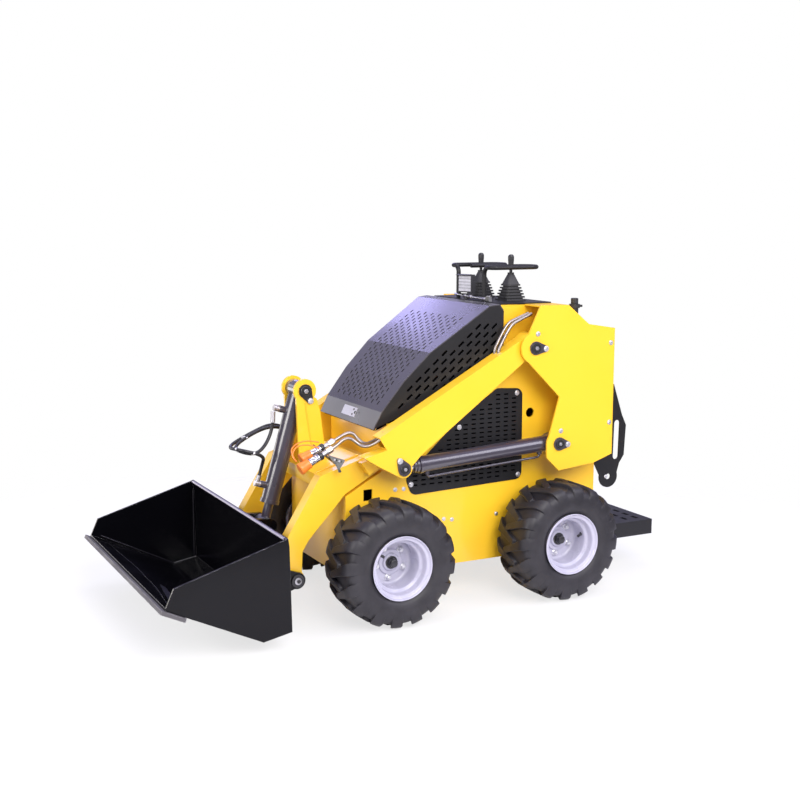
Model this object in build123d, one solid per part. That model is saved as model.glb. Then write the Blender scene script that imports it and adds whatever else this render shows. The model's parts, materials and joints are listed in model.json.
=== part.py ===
# Compact wheeled skid steer loader for an operator who stands on a rear platform.
# Millimetres. X points forward, Y to the machine's left and Z up. Outlines are lists of
# (x, z) points measured from the ground midway between the axles. Each piece is moved
# at the end so that the origin lies midway between the platform and the bucket's lip.
from build123d import *
from math import acos, atan2, cos, hypot, pi, radians, sin, tan
import os

os.makedirs("parts", exist_ok=True)

# Clearances
pin_fit = 0.05
seat_gap = 0.3
moving_gap = 5

# Wheels
half_wheelbase = 367
tyre_radius = 230
tyre_width = 216
wheel_centre_y = 412
rim_flange_radius = 119.5
rim_flange_depth = 12
rim_width = 208
rim_wall = 4
bead_radius = 108
tread_radius = 216
lugs_per_side = 16
lug_slant = 56
lug_inner_reach = 37
lug_outer_width = 48
lug_inner_width = 28
hub_radius = 38
hub_face_y = 404
hub_disc_wall = 8
axle_radius = 19
wheel_motor_radius = 52
wheel_motor_flange = 68
wheel_motor_length = 66

# Chassis
side_plate_outer = 264
side_plate_wall = 8
side_plate_inner = side_plate_outer - side_plate_wall
belly_z = 140
belly_wall = 8
nose_x = 478
tail_x = -643
rear_wall = 8
dash_top_z = 1148
dash_wall = 5
dash_half_width = 266
firewall_x = -182
firewall_wall = 6

# Towers, outside the side plates
tower_outer = 380
tower_wall = 8
tower_inner = tower_outer - tower_wall
tower_strip_wall = 6
boom_pivot = (-270, 982)
boom_pin_radius = 20
lift_base = (-388, 600)
lift_pin_radius = 16
retainer_radius = 26
retainer_tip_radius = 11
retainer_depth = 6

# Grilles on the side plates
grille_outline = [(-287, 812), (-289, 450), (205, 432), (231, 501), (10, 700), (-171, 819)]
grille_wall = 3
grille_corner = 30
grille_slot = (20, 6)
grille_column = (36.5, 0)
grille_row = (0, 18)
grille_first = (-249, 469)
grille_margin = 22

# Controls on the dash
lever_x = -320
lever_y = 116
grip_low_z = 1284
grip_top_z = 1330
boot_flange_wall = 5
boot_foot_half = 45
boot_slope_half = 28
boot_slope_z = 1212
boot_neck_z = 1250
boot_neck_radius = 13
boot_top_z = 1258
boot_pleats = 5
boot_pleat_depth = 7

# Hood
hood_gap = 4
hood_wall = 4
hood_front = (356, 693)
hood_rear_x = -177
hood_rear_low_z = 905
hood_front_half_width = 245
hood_toe_in = 0.0973
hood_top_line = [(356, 693), (323, 757), (235, 868), (130, 972), (1, 1061), (-117, 1143),
                 (-160, 1148), (-177, 1125)]
hood_slot = (17, 9)
hood_slot_pitch = 31
hood_slot_columns = 15
hood_slot_field = (104, 576)
hood_slot_share = 0.72
hood_side_slot = (28, 9)
hood_side_slot_row = (34, 0)
hood_side_slot_step = (-35, 32)
hood_side_slot_first = (-71, 1096)
hood_hinge = (-159, 1133)
hood_hinge_y = 200
hinge_pin_radius = 4
hinge_knuckle_radius = 9
hinge_knuckle_width = 24
hinge_pin_length = 60

# Boom
beam_inner = 302
beam_width = 60
beam_outer = beam_inner + beam_width
beam_wall = 6
beam_end_radius = 57
lug_wall = 8
lug_radius = 34
leg_inner = 210
leg_outer = 262
knee_rear = (398, 595)
knee_front = (578, 540)
lift_rod_pin = (285, 558)
bucket_pin = (680, 165)
bucket_pin_radius = 16
foot_radius = 35
ear_pin = (553, 828)
ear_inner = 53
ear_wall = 12
ear_radius = 45

coupler_sleeve_radius = 17
# Each coupler's y, its start and the (x, z) point that it aims at, and its pipe's points
coupler_lines = [
    (256, (505, 657), (655, 587), [(372, 338, 656), (415, 256, 641), (462, 256, 677)]),
    (200, (478, 645), (629, 573), [(372, 320, 650), (392, 200, 628), (436, 200, 665)]),
]

# Cylinders
barrel_radius = 31
barrel_bore = 26
rod_radius = 17.5
lift_barrel_length = 602
lift_rod_length = 620
lift_centre_y = 332
gland_length = 32
gland_ring_depth = 3
gland_ring_length = 14
port_radius = 11
steel_pipe_radius = 5
tilt_barrel_radius = 34
tilt_barrel_bore = 29
tilt_rod_pin = (700, 320)
tilt_barrel_length = 449
tilt_rod_length = 470
# Each port's distance from the ear pin and its end's height off the axis
tilt_ports = [(90, 58), (385, 58)]
hose_radius = 6.5
ferrule_radius = 9
ferrule_length = 42
hose_glands = [(545, -92), (545, -114)]
hose_end_z = 574
hose_end_gap = 0.4
# The tilt cylinder's two hoses, from a ferrule round the loop in front to a gland on the knee
hose_routes = {
    "tilt_hose_upper": [(661, 4, 707), (666, 10, 652), (716, 13, 608), (808, 17, 592),
                        (822, -66, 620), (690, -74, 664), (610, -92, 676), (545, -92, 655),
                        (545, -92, hose_end_z)],
    "tilt_hose_lower": [(718, 4, 508), (698, 10, 566), (738, 32, 606), (823, 44, 598),
                        (846, -86, 628), (690, -94, 672), (610, -114, 684), (545, -114, 660),
                        (545, -114, hose_end_z)],
}
eye_gap = 3

# Bucket and its hitch
bucket_half_width = 524
bucket_wall = 8
bucket_top_rear = (811, 397)
bucket_step = (807, 369)
bucket_rear_bottom = (800, 66)
bucket_heel = (905, 45)
bucket_lip = (1245, 207)
bucket_front_top = (1214, 277)
edge_half_width = 538
edge_length = 92
edge_wall = 14
edge_tip_x = 1259
hitch_wall = 14
hitch_half_width = 300
hitch_ear_gap = 6
hitch_ear_wall = 14
tilt_lug_inner = 42
tilt_lug_wall = 16

# Platform and rear guards
platform_rear_x = -965
platform_half_width = 250
platform_top_z = 204
platform_low_z = 141
platform_wall = 5
guard_wall = 6

# The origin is midway between the platform's rear edge and the lip
middle_x = (edge_tip_x + platform_rear_x) / 2


def prism(outline, near, far):
    """A solid with an outline in X and Z, from one distance along Y to another."""
    wire = Wire.make_polygon([(x, near, z) for x, z in outline], close=True)
    return extrude(Face(wire), far - near, dir=(0, 1, 0))


def disc(centre, radius, near, far):
    """A round solid along Y about an (x, z) centre."""
    start = Plane(origin=(centre[0], near, centre[1]), z_dir=(0, 1, 0))
    return Part() + Solid.make_cylinder(radius, far - near, start)


def bar(start, end, radius):
    """A round bar between two points."""
    start = Vector(start)
    run = Vector(end) - start
    return Part() + Solid.make_cylinder(radius, run.length, Plane(origin=start, z_dir=run))


def block(low, high):
    """A box between two corners."""
    size = [b - a for a, b in zip(low, high)]
    centre = [(a + b) / 2 for a, b in zip(low, high)]
    return Pos(*centre) * Box(*size)


def parallel(line, distance):
    """A line of (x, z) points at a distance to the left of another, mitred at its bends."""
    runs = []
    for (x0, z0), (x1, z1) in zip(line, line[1:]):
        length = hypot(x1 - x0, z1 - z0)
        runs.append(((x1 - x0) / length, (z1 - z0) / length))
    moved = []
    for i, (x, z) in enumerate(line):
        before = runs[max(i - 1, 0)]
        after = runs[min(i, len(runs) - 1)]
        nx = -before[1] - after[1]
        nz = before[0] + after[0]
        reach = 2 * distance / (nx * nx + nz * nz)
        moved.append((x + nx * reach, z + nz * reach))
    return moved


def sheet(line, wall, near, far):
    """A bent sheet along a line of (x, z) points, with its wall to the line's left."""
    return prism(line + parallel(line, wall)[::-1], near, far)


def pipe(points, bend, radius):
    """A round pipe through points, with every bend of one radius."""
    path = FilletPolyline(*points, radius=bend)
    start = Plane(origin=path @ 0, z_dir=path % 0)
    return Part() + sweep(start * Circle(radius), path=path)


def mirrored(part):
    """The same piece on the machine's other side."""
    return mirror(part, about=Plane.XZ)


def along(start, end, distance):
    """The (x, z) point at a distance from one point towards another."""
    share = distance / hypot(end[0] - start[0], end[1] - start[1])
    return (start[0] + (end[0] - start[0]) * share, start[1] + (end[1] - start[1]) * share)


def link(first, first_radius, second, second_radius, near, far):
    """A plate with round ends about two (x, z) centres, joined by their tangents."""
    run = atan2(second[1] - first[1], second[0] - first[0])
    spread = hypot(second[0] - first[0], second[1] - first[1])
    lean = acos((first_radius - second_radius) / spread)
    corners = []
    for (x, z), radius, side in ((first, first_radius, 1), (second, second_radius, 1),
                                 (second, second_radius, -1), (first, first_radius, -1)):
        turn = run + side * lean
        corners.append((x + radius * cos(turn), z + radius * sin(turn)))
    plate = prism(corners, near, far)
    plate += disc(first, first_radius, near, far)
    return plate + disc(second, second_radius, near, far)


def inset(outline, distance):
    """An anticlockwise outline moved inwards by a distance."""
    return parallel([outline[-1]] + outline + [outline[0]], distance)[1:-1]


def well_inside(outline, point, margin):
    """Whether a point lies a margin or more inside an anticlockwise convex outline."""
    for (x0, z0), (x1, z1) in zip(outline, outline[1:] + outline[:1]):
        side = (x1 - x0) * (point[1] - z0) - (z1 - z0) * (point[0] - x0)
        if side < margin * hypot(x1 - x0, z1 - z0):
            return False
    return True


def lattice(outline, first, across, up, margin):
    """The places of a slot pattern that lie well inside an outline."""
    reach = range(-30, 31)
    places = []
    for i in reach:
        for j in reach:
            place = (first[0] + i * across[0] + j * up[0], first[1] + i * across[1] + j * up[1])
            if well_inside(outline, place, margin):
                places.append(place)
    return places


def punch(centre, run, facing, slot, depth):
    """The tool for one slot, long along its run and deep along the way that it faces."""
    return Plane(origin=centre, x_dir=run, z_dir=facing) * Box(slot[0], slot[1], depth)


def place_on(line, distance):
    """The (x, z) point at a distance along a line, with the direction of its run."""
    for start, end in zip(line, line[1:]):
        length = hypot(end[0] - start[0], end[1] - start[1])
        if distance <= length:
            return along(start, end, distance), ((end[0] - start[0]) / length,
                                                 (end[1] - start[1]) / length)
        distance -= length


def height_on(line_start, line_end, x):
    """The z at x of the straight line through two (x, z) points."""
    slope = (line_end[1] - line_start[1]) / (line_end[0] - line_start[0])
    return line_start[1] + (x - line_start[0]) * slope


# Outlines that several pieces share
hood_low_line = (hood_front, (hood_rear_x, hood_rear_low_z))
nose_line = [(nose_x, 452), (325, 538), (300, 560)]
rear_line = [(-419, 1143), (-517, 1065), (tail_x, 1045), (tail_x, 539)]
beam_top = ((386, 682), (-244.5, 1028.4))
leg_back = [(329, 547), (479, 463), (626, 306), (651, 266), (655, 194), (646, 160)]


def side_plate():
    """The side wall of the chassis, which runs up into the inner wall of the tower."""
    bulkhead_x = nose_line[-1][0]
    inner_rear = parallel(rear_line, rear_wall)
    outline = [(nose_x, belly_z)] + nose_line
    outline.append((bulkhead_x, height_on(*hood_low_line, bulkhead_x) - hood_gap))
    outline.append((firewall_x, height_on(*hood_low_line, firewall_x) - hood_gap))
    outline.append((firewall_x, dash_top_z - dash_wall))
    outline += inner_rear[:3]
    outline.append((tail_x + rear_wall, belly_z))
    plate = prism(outline, side_plate_inner, side_plate_outer)
    for x in (-half_wheelbase, half_wheelbase):
        plate -= disc((x, tyre_radius), wheel_motor_radius, side_plate_inner, side_plate_outer)
    plate -= prism(inset(grille_outline, grille_margin / 2), side_plate_inner, side_plate_outer)
    plate -= prism([(368, 428), (405, 428), (405, 472), (368, 472)],
                   side_plate_inner, side_plate_outer)
    return plate - disc((-326, 712), 19, side_plate_inner, side_plate_outer)


def belly_plate():
    return block((tail_x + rear_wall, -side_plate_inner, belly_z),
                 (nose_x - rear_wall, side_plate_inner, belly_z + belly_wall))


def front_plate():
    """The nose: an upright plate that bends back under the boom's knee, up to the hood."""
    bulkhead_x = nose_line[-1][0]
    top_z = height_on(*hood_low_line, bulkhead_x) - hood_gap
    line = [(nose_x, belly_z)] + nose_line + [(bulkhead_x, top_z)]
    return sheet(line, rear_wall, -side_plate_inner, side_plate_inner)


def firewall():
    return block((firewall_x - firewall_wall, -side_plate_inner, belly_z + belly_wall),
                 (firewall_x, side_plate_inner, dash_top_z - dash_wall))


def rear_panel():
    """The sheet that closes the machine's rear, wide at the towers and narrow below."""
    upper = sheet(rear_line, rear_wall, -tower_inner, tower_inner)
    lower = block((tail_x, -side_plate_outer, belly_z),
                  (tail_x + rear_wall, side_plate_outer, rear_line[-1][1]))
    return upper + lower


def tower():
    """The outer plate of a tower with the strip that joins it to the dash."""
    outline = [
        (-292, 1145), rear_line[0], rear_line[1], rear_line[2], rear_line[3],
        (-555, 510), (-389, 493), (-333, 547), (-331, 600), (-386, 785),
        (-231, 937), (-208, 973),
    ]
    plate = prism(outline, tower_inner, tower_outer)
    plate += disc(boom_pivot, 62, tower_inner, tower_outer)
    plate += disc(lift_base, 57, tower_inner, tower_outer)
    strip_rear_x = parallel(rear_line, rear_wall)[0][0]
    plate += block((strip_rear_x, side_plate_outer, dash_top_z - dash_wall - tower_strip_wall),
                   (outline[0][0], tower_inner, dash_top_z - dash_wall))
    return plate


def dash_console():
    rear_x = parallel(rear_line, rear_wall)[0][0]
    return block((rear_x, -dash_half_width, dash_top_z - dash_wall),
                 (firewall_x, dash_half_width, dash_top_z))


def grille():
    """The cooling grille on a side plate, a sheet with rows of level slots."""
    far = side_plate_outer + grille_wall
    plate = prism(grille_outline, side_plate_outer, far)
    plate = fillet(plate.edges().filter_by(Axis.Y), grille_corner)
    slots = lattice(grille_outline, grille_first, grille_column, grille_row, grille_margin)
    return plate - [punch((x, far, z), (1, 0, 0), (0, 1, 0), grille_slot, 4 * grille_wall)
                    for x, z in slots]


def engine_block():
    """The engine as one block on four feet."""
    engine = block((-150, -190, 300), (230, 190, 690))
    for x in (-120, 200):
        for y in (-160, 160):
            engine += block((x - 25, y - 25, belly_z + belly_wall), (x + 25, y + 25, 300))
    return engine


def wheel_motors():
    """A hydraulic motor for each wheel, bolted to the outside of its side plate."""
    motors = Part()
    for x in (-half_wheelbase, half_wheelbase):
        centre = (x, tyre_radius)
        end_y = side_plate_outer + wheel_motor_length
        motor = disc(centre, wheel_motor_flange, side_plate_outer, side_plate_outer + 12)
        motor += disc(centre, wheel_motor_radius - 1, side_plate_inner - 60, end_y)
        motor -= disc(centre, axle_radius + pin_fit, side_plate_outer, end_y)
        motors += [motor, mirrored(motor)]
    return motors


def rear_platform():
    """The operator's step: a slotted deck with a skirt all round."""
    deck = block((platform_rear_x, -platform_half_width, platform_low_z),
                 (tail_x, platform_half_width, platform_top_z))
    room = block((platform_rear_x + platform_wall, -platform_half_width + platform_wall,
                  platform_low_z),
                 (tail_x - platform_wall, platform_half_width - platform_wall,
                  platform_top_z - platform_wall))
    deck -= room
    middle_x = (platform_rear_x + tail_x) / 2
    slots = []
    for row in (-2, -1, 1, 2):
        for column in (-3, -2, -1, 0, 1, 2, 3):
            centre = (middle_x + row * 56, column * 64, platform_top_z)
            slots.append(punch(centre, (0, 1, 0), (0, 0, 1), (40, 18), 4 * platform_wall))
    return deck - slots


def guard_bracket():
    """The plate beside the operator's legs, with its slots and its round lobe."""
    near = side_plate_outer - guard_wall
    far = side_plate_outer
    outline = [(tail_x, 800), (tail_x, 480), (-690, 392), (-760, 430), (-771, 468),
               (-794, 501), (-801, 626), (-779, 671), (-734, 801)]
    plate = prism(outline, near, far)
    plate += disc((-717, 415), 45, near, far)
    plate -= link((-755, 636), 14, (-752, 499), 14, near, far)
    plate -= link((-700, 640), 8, (-697, 520), 8, near, far)
    return plate - disc((-717, 415), 12, near, far)


def pivot_pins():
    """The pins that carry the boom and the lift cylinders, each with a bolted retainer."""
    pins = Part()
    for centre, radius, bolt in (
        (boom_pivot, boom_pin_radius, (-315, 978)),
        (lift_base, lift_pin_radius, (-426, 596)),
    ):
        pin = disc(centre, radius, side_plate_outer, tower_inner)
        retainer = link(centre, retainer_radius, bolt, retainer_tip_radius,
                        tower_outer, tower_outer + retainer_depth)
        pins += [pin, retainer, mirrored(pin), mirrored(retainer)]
    return pins


def hand_rails():
    """Two hooked loops of tube round the levers, each bent up from its post."""
    tube_radius = 9
    rail_z = 1280
    front_x, rear_x, end_x = -205, -428, -245
    post_y, outer_y, inner_y = 102, 165, 70
    path = FilletPolyline((front_x, post_y, dash_top_z), (front_x, post_y, rail_z),
                          (front_x, outer_y, rail_z), (rear_x, outer_y, rail_z),
                          (rear_x, inner_y, rail_z), (end_x, inner_y, rail_z),
                          radius=[28, 30, 42, 42])
    start = Plane(origin=path @ 0, z_dir=path % 0)
    rail = Part() + sweep(start * Circle(tube_radius), path=path)
    return Part() + [rail, mirrored(rail)]


def control_levers():
    """Two levers with tapered grips, one for each side's wheels."""
    # The section's points are (r, z), from the lever's foot up
    section = [(0, boot_top_z), (6, boot_top_z), (6, grip_low_z), (10, grip_low_z),
               (12, grip_top_z - 20), (12, grip_top_z - 9), (9.5, grip_top_z - 3),
               (5, grip_top_z), (0, grip_top_z)]
    lever = revolve(Face(Wire.make_polygon([(r, 0, z) for r, z in section], close=True)),
                    Axis.Z, 360)
    return Part() + [Pos(lever_x, y, 0) * lever for y in (-lever_y, lever_y)]


def lever_boots():
    """The levers' square boots: pleats below, then a smooth slope up to a round neck."""
    half = boot_foot_half
    flange_z = dash_top_z + boot_flange_wall
    boot = block((-half, -half, dash_top_z), (half, half, flange_z))
    pitch = (boot_slope_z - flange_z) / boot_pleats
    for i in range(boot_pleats):
        low_z = flange_z + i * pitch
        half = boot_foot_half + (boot_slope_half - boot_foot_half) * i / boot_pleats
        core = 2 * (half - boot_pleat_depth)
        boot += Pos(0, 0, low_z) * extrude(RectangleRounded(core, core, 8), pitch)
        boot += Pos(0, 0, low_z + pitch / 2) * extrude(RectangleRounded(2 * half, 2 * half, 12),
                                                       pitch / 2)
    slope_foot = Pos(0, 0, boot_slope_z) * RectangleRounded(2 * boot_slope_half,
                                                            2 * boot_slope_half, 10)
    slope_top = Pos(0, 0, boot_neck_z) * RectangleRounded(2 * boot_neck_radius,
                                                          2 * boot_neck_radius, 10)
    boot += loft([slope_foot.face(), slope_top.face()])
    boot += bar((0, 0, boot_neck_z), (0, 0, boot_top_z), boot_neck_radius)
    return Part() + [Pos(lever_x, y, 0) * boot for y in (-lever_y, lever_y)]


def work_lamp():
    """A square lamp in a stirrup on a foot, turned towards the machine's left."""
    low_z, high_z = 1175, 1247
    half = 35
    lamp = block((-10, -half, low_z), (14, half, high_z))
    lamp -= block((11, -half + 4, low_z + 4), (14, half - 4, high_z - 4))
    for y in range(-24, 25, 12):
        lamp += block((-26, y - 2, low_z + 8), (-10, y + 2, high_z - 8))
    middle_z = (low_z + high_z) / 2
    stirrup = block((-8, -half - 3, low_z - 9), (8, half + 3, low_z - 5))
    for side in (-1, 1):
        near, far = sorted((side * half, side * (half + 3)))
        stirrup += block((-8, near, low_z - 9), (8, far, middle_z + 8))
    foot = Pos(0, 0, (dash_top_z + low_z - 9) / 2) * Cylinder(9, low_z - 9 - dash_top_z)
    return Pos(-196, -20, 0) * Rot(0, 0, 22) * (lamp + stirrup + foot)


def filler_cap():
    """The tank's filler neck and cap, on the sloping shelf behind the dash."""
    x, y = -573, 200
    shelf_z = height_on(rear_line[1], rear_line[2], x)
    neck = bar((x, y, shelf_z - 20), (x, y, 1114), 16)
    neck += bar((x, y, 1114), (x, y, 1130), 22) + block((x - 36, y - 5, 1117), (x, y + 5, 1126))
    cap = bar((x, y, 1130), (x, y, 1154), 15)
    cap = chamfer(cap.edges().filter_by(GeomType.CIRCLE), 2)
    shelf = [(px, height_on(rear_line[1], rear_line[2], px)) for px in (-420, -700)]
    return cap + neck - prism(shelf + [(-700, 900), (-420, 900)], 100, 300)


def hood_half_width(x):
    """Half the hood's width at an x."""
    return hood_front_half_width + (hood_front[0] - x) * hood_toe_in


def crossing(first_start, first_end, second_start, second_end):
    """The (x, z) point where two straight lines cross."""
    x0, z0 = first_start
    dx, dz = first_end[0] - x0, first_end[1] - z0
    ex, ez = second_end[0] - second_start[0], second_end[1] - second_start[1]
    share = ((second_start[0] - x0) * ez - (second_start[1] - z0) * ex) / (dx * ez - dz * ex)
    return (x0 + dx * share, z0 + dz * share)


def hood_solid(outline, inset):
    """The hood's form: an outline between two sides that toe in towards the front."""
    high = 340
    form = prism(outline, -high, high)
    edge_y = hood_front_half_width - inset
    far_x = hood_front[0] + 200
    near_x = hood_rear_x - 200
    for side in (-1, 1):
        outside = Wire.make_polygon([
            (far_x, side * (edge_y - 200 * hood_toe_in), 600),
            (far_x, side * (high + 10), 600),
            (near_x, side * (high + 10), 600),
            (near_x, side * (edge_y + (hood_front[0] - near_x) * hood_toe_in), 600),
        ], close=True)
        form -= extrude(Face(outside), 700, dir=(0, 0, 1))
    return form


def hood():
    """The engine hood's bent sheet: a sloping faceted front and top, with staggered slots."""
    inner_line = parallel(hood_top_line, hood_wall)
    shell = hood_solid(hood_top_line + inner_line[::-1], 0)
    slots = []
    middle_column = (hood_slot_columns - 1) / 2
    for column in range(hood_slot_columns):
        distance = hood_slot_field[0] + (column % 2) * hood_slot_pitch / 2
        while distance < hood_slot_field[1]:
            (x, z), (dx, dz) = place_on(hood_top_line, distance)
            share = hood_slot_share * (column - middle_column) / middle_column
            fan = -share * hood_toe_in * dx
            slots.append(punch((x, share * hood_half_width(x), z), (dx, fan, dz), (-dz, 0, dx),
                               hood_slot, 6 * hood_wall))
            distance += hood_slot_pitch
    shell -= slots
    x, z = hood_hinge
    web = [(x - 3, z), (x - 3, z + 11), (x + 12, dash_top_z - 3), (x + 12, z)]
    for side in (-1, 1):
        notch_half = hinge_knuckle_width / 2 + 2
        for notch_x, notch_z in ((x - 3, dash_top_z + 2), (x + 2, z + 8)):
            shell -= block((hood_rear_x - 10, side * hood_hinge_y - notch_half, z - 30),
                           (notch_x, side * hood_hinge_y + notch_half, notch_z))
        for near in (-hinge_pin_length / 2, hinge_pin_length / 2 - hinge_knuckle_width / 2):
            low = side * hood_hinge_y + near
            high = low + hinge_knuckle_width / 2
            knuckle = prism(web, low, high) + disc(hood_hinge, hinge_knuckle_radius, low, high)
            shell += knuckle - disc(hood_hinge, hinge_pin_radius + pin_fit, low, high)
    return shell


def hood_side():
    """The left side panel of the hood, flat and slotted, under the edge of its bent sheet."""
    inner_line = parallel(hood_top_line, hood_wall)
    front = crossing(inner_line[0], inner_line[1], *hood_low_line)
    outline = [front] + inner_line[1:]
    outline += [(hood_rear_x, inner_line[-1][1]), (hood_rear_x, hood_rear_low_z)]
    panel = hood_solid(outline, 0) - hood_solid(outline, hood_wall)
    panel -= block((-400, -400, 600), (500, 0, 1200))
    slots = lattice(outline, hood_side_slot_first, hood_side_slot_row, hood_side_slot_step,
                    hood_side_slot[0])
    run = (hood_side_slot_step[0], -hood_side_slot_step[0] * hood_toe_in, hood_side_slot_step[1])
    return panel - [punch((x, hood_half_width(x), z), run, (hood_toe_in, 1, 0),
                          hood_side_slot, 4 * hood_wall) for x, z in slots]


def hood_hinges():
    """The two hinges at the hood's rear edge: a lug on the firewall and its pin."""
    x, z = hood_hinge
    hinges = Part()
    for side in (-1, 1):
        y = side * hood_hinge_y
        low_y = y - hinge_knuckle_width / 2
        high_y = y + hinge_knuckle_width / 2
        lug = block((firewall_x, low_y, z - 7), (x, high_y, z - 1))
        lug += disc(hood_hinge, hinge_pin_radius + 2, low_y, high_y)
        pin = disc(hood_hinge, hinge_pin_radius, y - hinge_pin_length / 2, y + hinge_pin_length / 2)
        hinges += lug + pin
    return hinges


def beam():
    """A main beam of the boom: a box with its pivot end, its nose and the cylinder's lug."""
    lower_front = (215, 603)
    lower_rear = (-282, 965.5)
    box_end = (356, 635)
    upper_front, upper_rear = beam_top
    box = [upper_front, upper_rear, lower_rear, lower_front, (330, 597), box_end]
    nose = [(330, 597), box_end, (445, 612), (383, 573), (345, 552)]
    lug = [lower_front, (330, 597), (345, 552), (304, 529.5), lift_rod_pin, (252, 566)]
    form = prism(box, beam_inner, beam_outer)
    form += disc(boom_pivot, beam_end_radius, beam_inner, beam_outer)
    form += prism(nose, beam_inner, beam_outer)
    for near in (beam_inner, beam_outer - lug_wall):
        form += prism(lug, near, near + lug_wall)
        form += disc(lift_rod_pin, lug_radius, near, near + lug_wall)
    hollow_rear = -150
    beam_rise = beam_wall / cos(atan2(upper_rear[1] - upper_front[1], upper_front[0] - upper_rear[0]))
    hollow = [
        (hollow_rear, height_on(lower_front, lower_rear, hollow_rear) + beam_rise),
        (hollow_rear, height_on(upper_front, upper_rear, hollow_rear) - beam_rise),
        (395, height_on(upper_front, upper_rear, 395) - beam_rise),
        (365, 641), (352, 641), (327, 605), (218, 611),
    ]
    form -= prism(hollow, beam_inner + beam_wall, beam_outer - beam_wall)
    pocket = [(130, 655), (215, 590), (322, 590), (330, 604), (352, 641), (160, 690)]
    form -= prism(pocket, beam_inner + lug_wall, beam_outer - lug_wall)
    form -= disc(boom_pivot, boom_pin_radius + pin_fit, beam_inner, beam_outer)
    return form


def crosshead():
    """The closed box across the boom's knee, between its legs."""
    outline = [knee_rear, knee_front, (570, 488), (479, 470), (345, 545)]
    return prism(outline, -leg_inner, leg_inner)


def leg():
    """A leg from the knee down to the bucket's pin, with the block that joins the beam."""
    outline = [knee_rear, knee_front, (709, 326), (715, 168)] + leg_back[::-1]
    form = prism(outline, leg_inner, leg_outer)
    form += disc(bucket_pin, foot_radius, leg_inner, leg_outer)
    form += prism([(352, 562), (398, 592), (430, 582), (398, 535)], leg_outer, beam_inner)
    form -= disc(bucket_pin, bucket_pin_radius + pin_fit, leg_inner, leg_outer)
    return form


def tilt_ears():
    """The two tall plates on the knee that carry the tilt cylinder's upper pin."""
    low_rear_x, low_front_x = 469, 575
    outline = [
        (low_rear_x, height_on(knee_rear, knee_front, low_rear_x)),
        (492, 751), (506, 796), (ear_pin[0], ear_pin[1]), (590, 835), (582, 631),
        (low_front_x, height_on(knee_rear, knee_front, low_front_x)),
    ]
    ears = Part()
    for side in (-1, 1):
        near, far = sorted((side * ear_inner, side * (ear_inner + ear_wall)))
        ear = prism(outline, near, far) + disc(ear_pin, ear_radius, near, far)
        ears += ear - disc(ear_pin, lift_pin_radius + pin_fit, near, far)
    return ears


def tilt_ear_pin():
    """The tilt cylinder's upper pin with a bolted retainer at each end."""
    reach = ear_inner + ear_wall
    pin = disc(ear_pin, lift_pin_radius, -reach - retainer_depth, reach + retainer_depth)
    for side in (-1, 1):
        near, far = sorted((side * reach, side * (reach + retainer_depth)))
        pin += link(ear_pin, retainer_radius, (533, 789), retainer_tip_radius, near, far)
    return pin


def rod_pin_bosses():
    """The bolted retainers of the lift rods' pins, on the outside of the beams' lugs."""
    retainer = link(lift_rod_pin, retainer_radius, (305, 591), retainer_tip_radius,
                    beam_outer, beam_outer + retainer_depth)
    return Part() + [retainer, mirrored(retainer)]


def boom_pipes():
    """The steel hydraulic pipes on the left side of the boom."""
    pipe_radius = 6
    pipes = Part()
    for y, turn_x in ((314, -127), (336, -131)):
        end_z = height_on(*beam_top, turn_x - pipe_radius) + seat_gap
        points = [(-278, y, 1110), (-196, y, 1078), (turn_x, y, end_z + 30), (turn_x, y, end_z)]
        pipes += pipe(points, 12, pipe_radius)
    for y, start, end, points in coupler_lines:
        pipes += pipe(points + [(start[0], y, start[1])], 18, pipe_radius)
    return pipes


def aux_couplers():
    """Two quick couplers on upright brackets above the knee, at the ends of their pipes."""
    couplers = Part()
    for y, start, end, points in coupler_lines:
        def at(distance):
            x, z = along(start, end, distance)
            return (x, y, z)

        coupler = bar(at(0), at(24), 11) + bar(at(24), at(82), 13)
        coupler += bar(at(82), at(116), coupler_sleeve_radius)
        stand_x, stand_z = along(start, end, 50)
        foot_z = height_on(knee_rear, knee_front, stand_x - 6) + seat_gap
        coupler += block((stand_x - 6, y - 20, foot_z), (stand_x + 6, y + 20, stand_z))
        couplers += coupler
    return couplers


def coupler_caps():
    """The dust caps on the two quick couplers."""
    caps = Part()
    for y, start, end, points in coupler_lines:
        near, far = along(start, end, 116), along(start, end, 152)
        caps += bar((near[0], y, near[1]), (far[0], y, far[1]), coupler_sleeve_radius - 2)
    return caps


def cylinder_barrel(base, tip, length, outer, bore, y, eye_half, eye_radius):
    """A cylinder's barrel from its base pin towards the rod's pin, bored for the rod."""
    def at(distance):
        x, z = along(base, tip, distance)
        return (x, y, z)

    barrel = bar(at(eye_radius - 12), at(length), outer)
    barrel += bar(at(length - gland_ring_length), at(length), outer + gland_ring_depth)
    barrel += disc(base, eye_radius, y - eye_half, y + eye_half)
    barrel -= disc(base, lift_pin_radius + pin_fit, y - eye_half, y + eye_half)
    barrel -= bar(at(eye_radius + 12), at(length - gland_length), bore)
    barrel -= bar(at(length - gland_length - 1), at(length), rod_radius + pin_fit)
    return barrel


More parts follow.
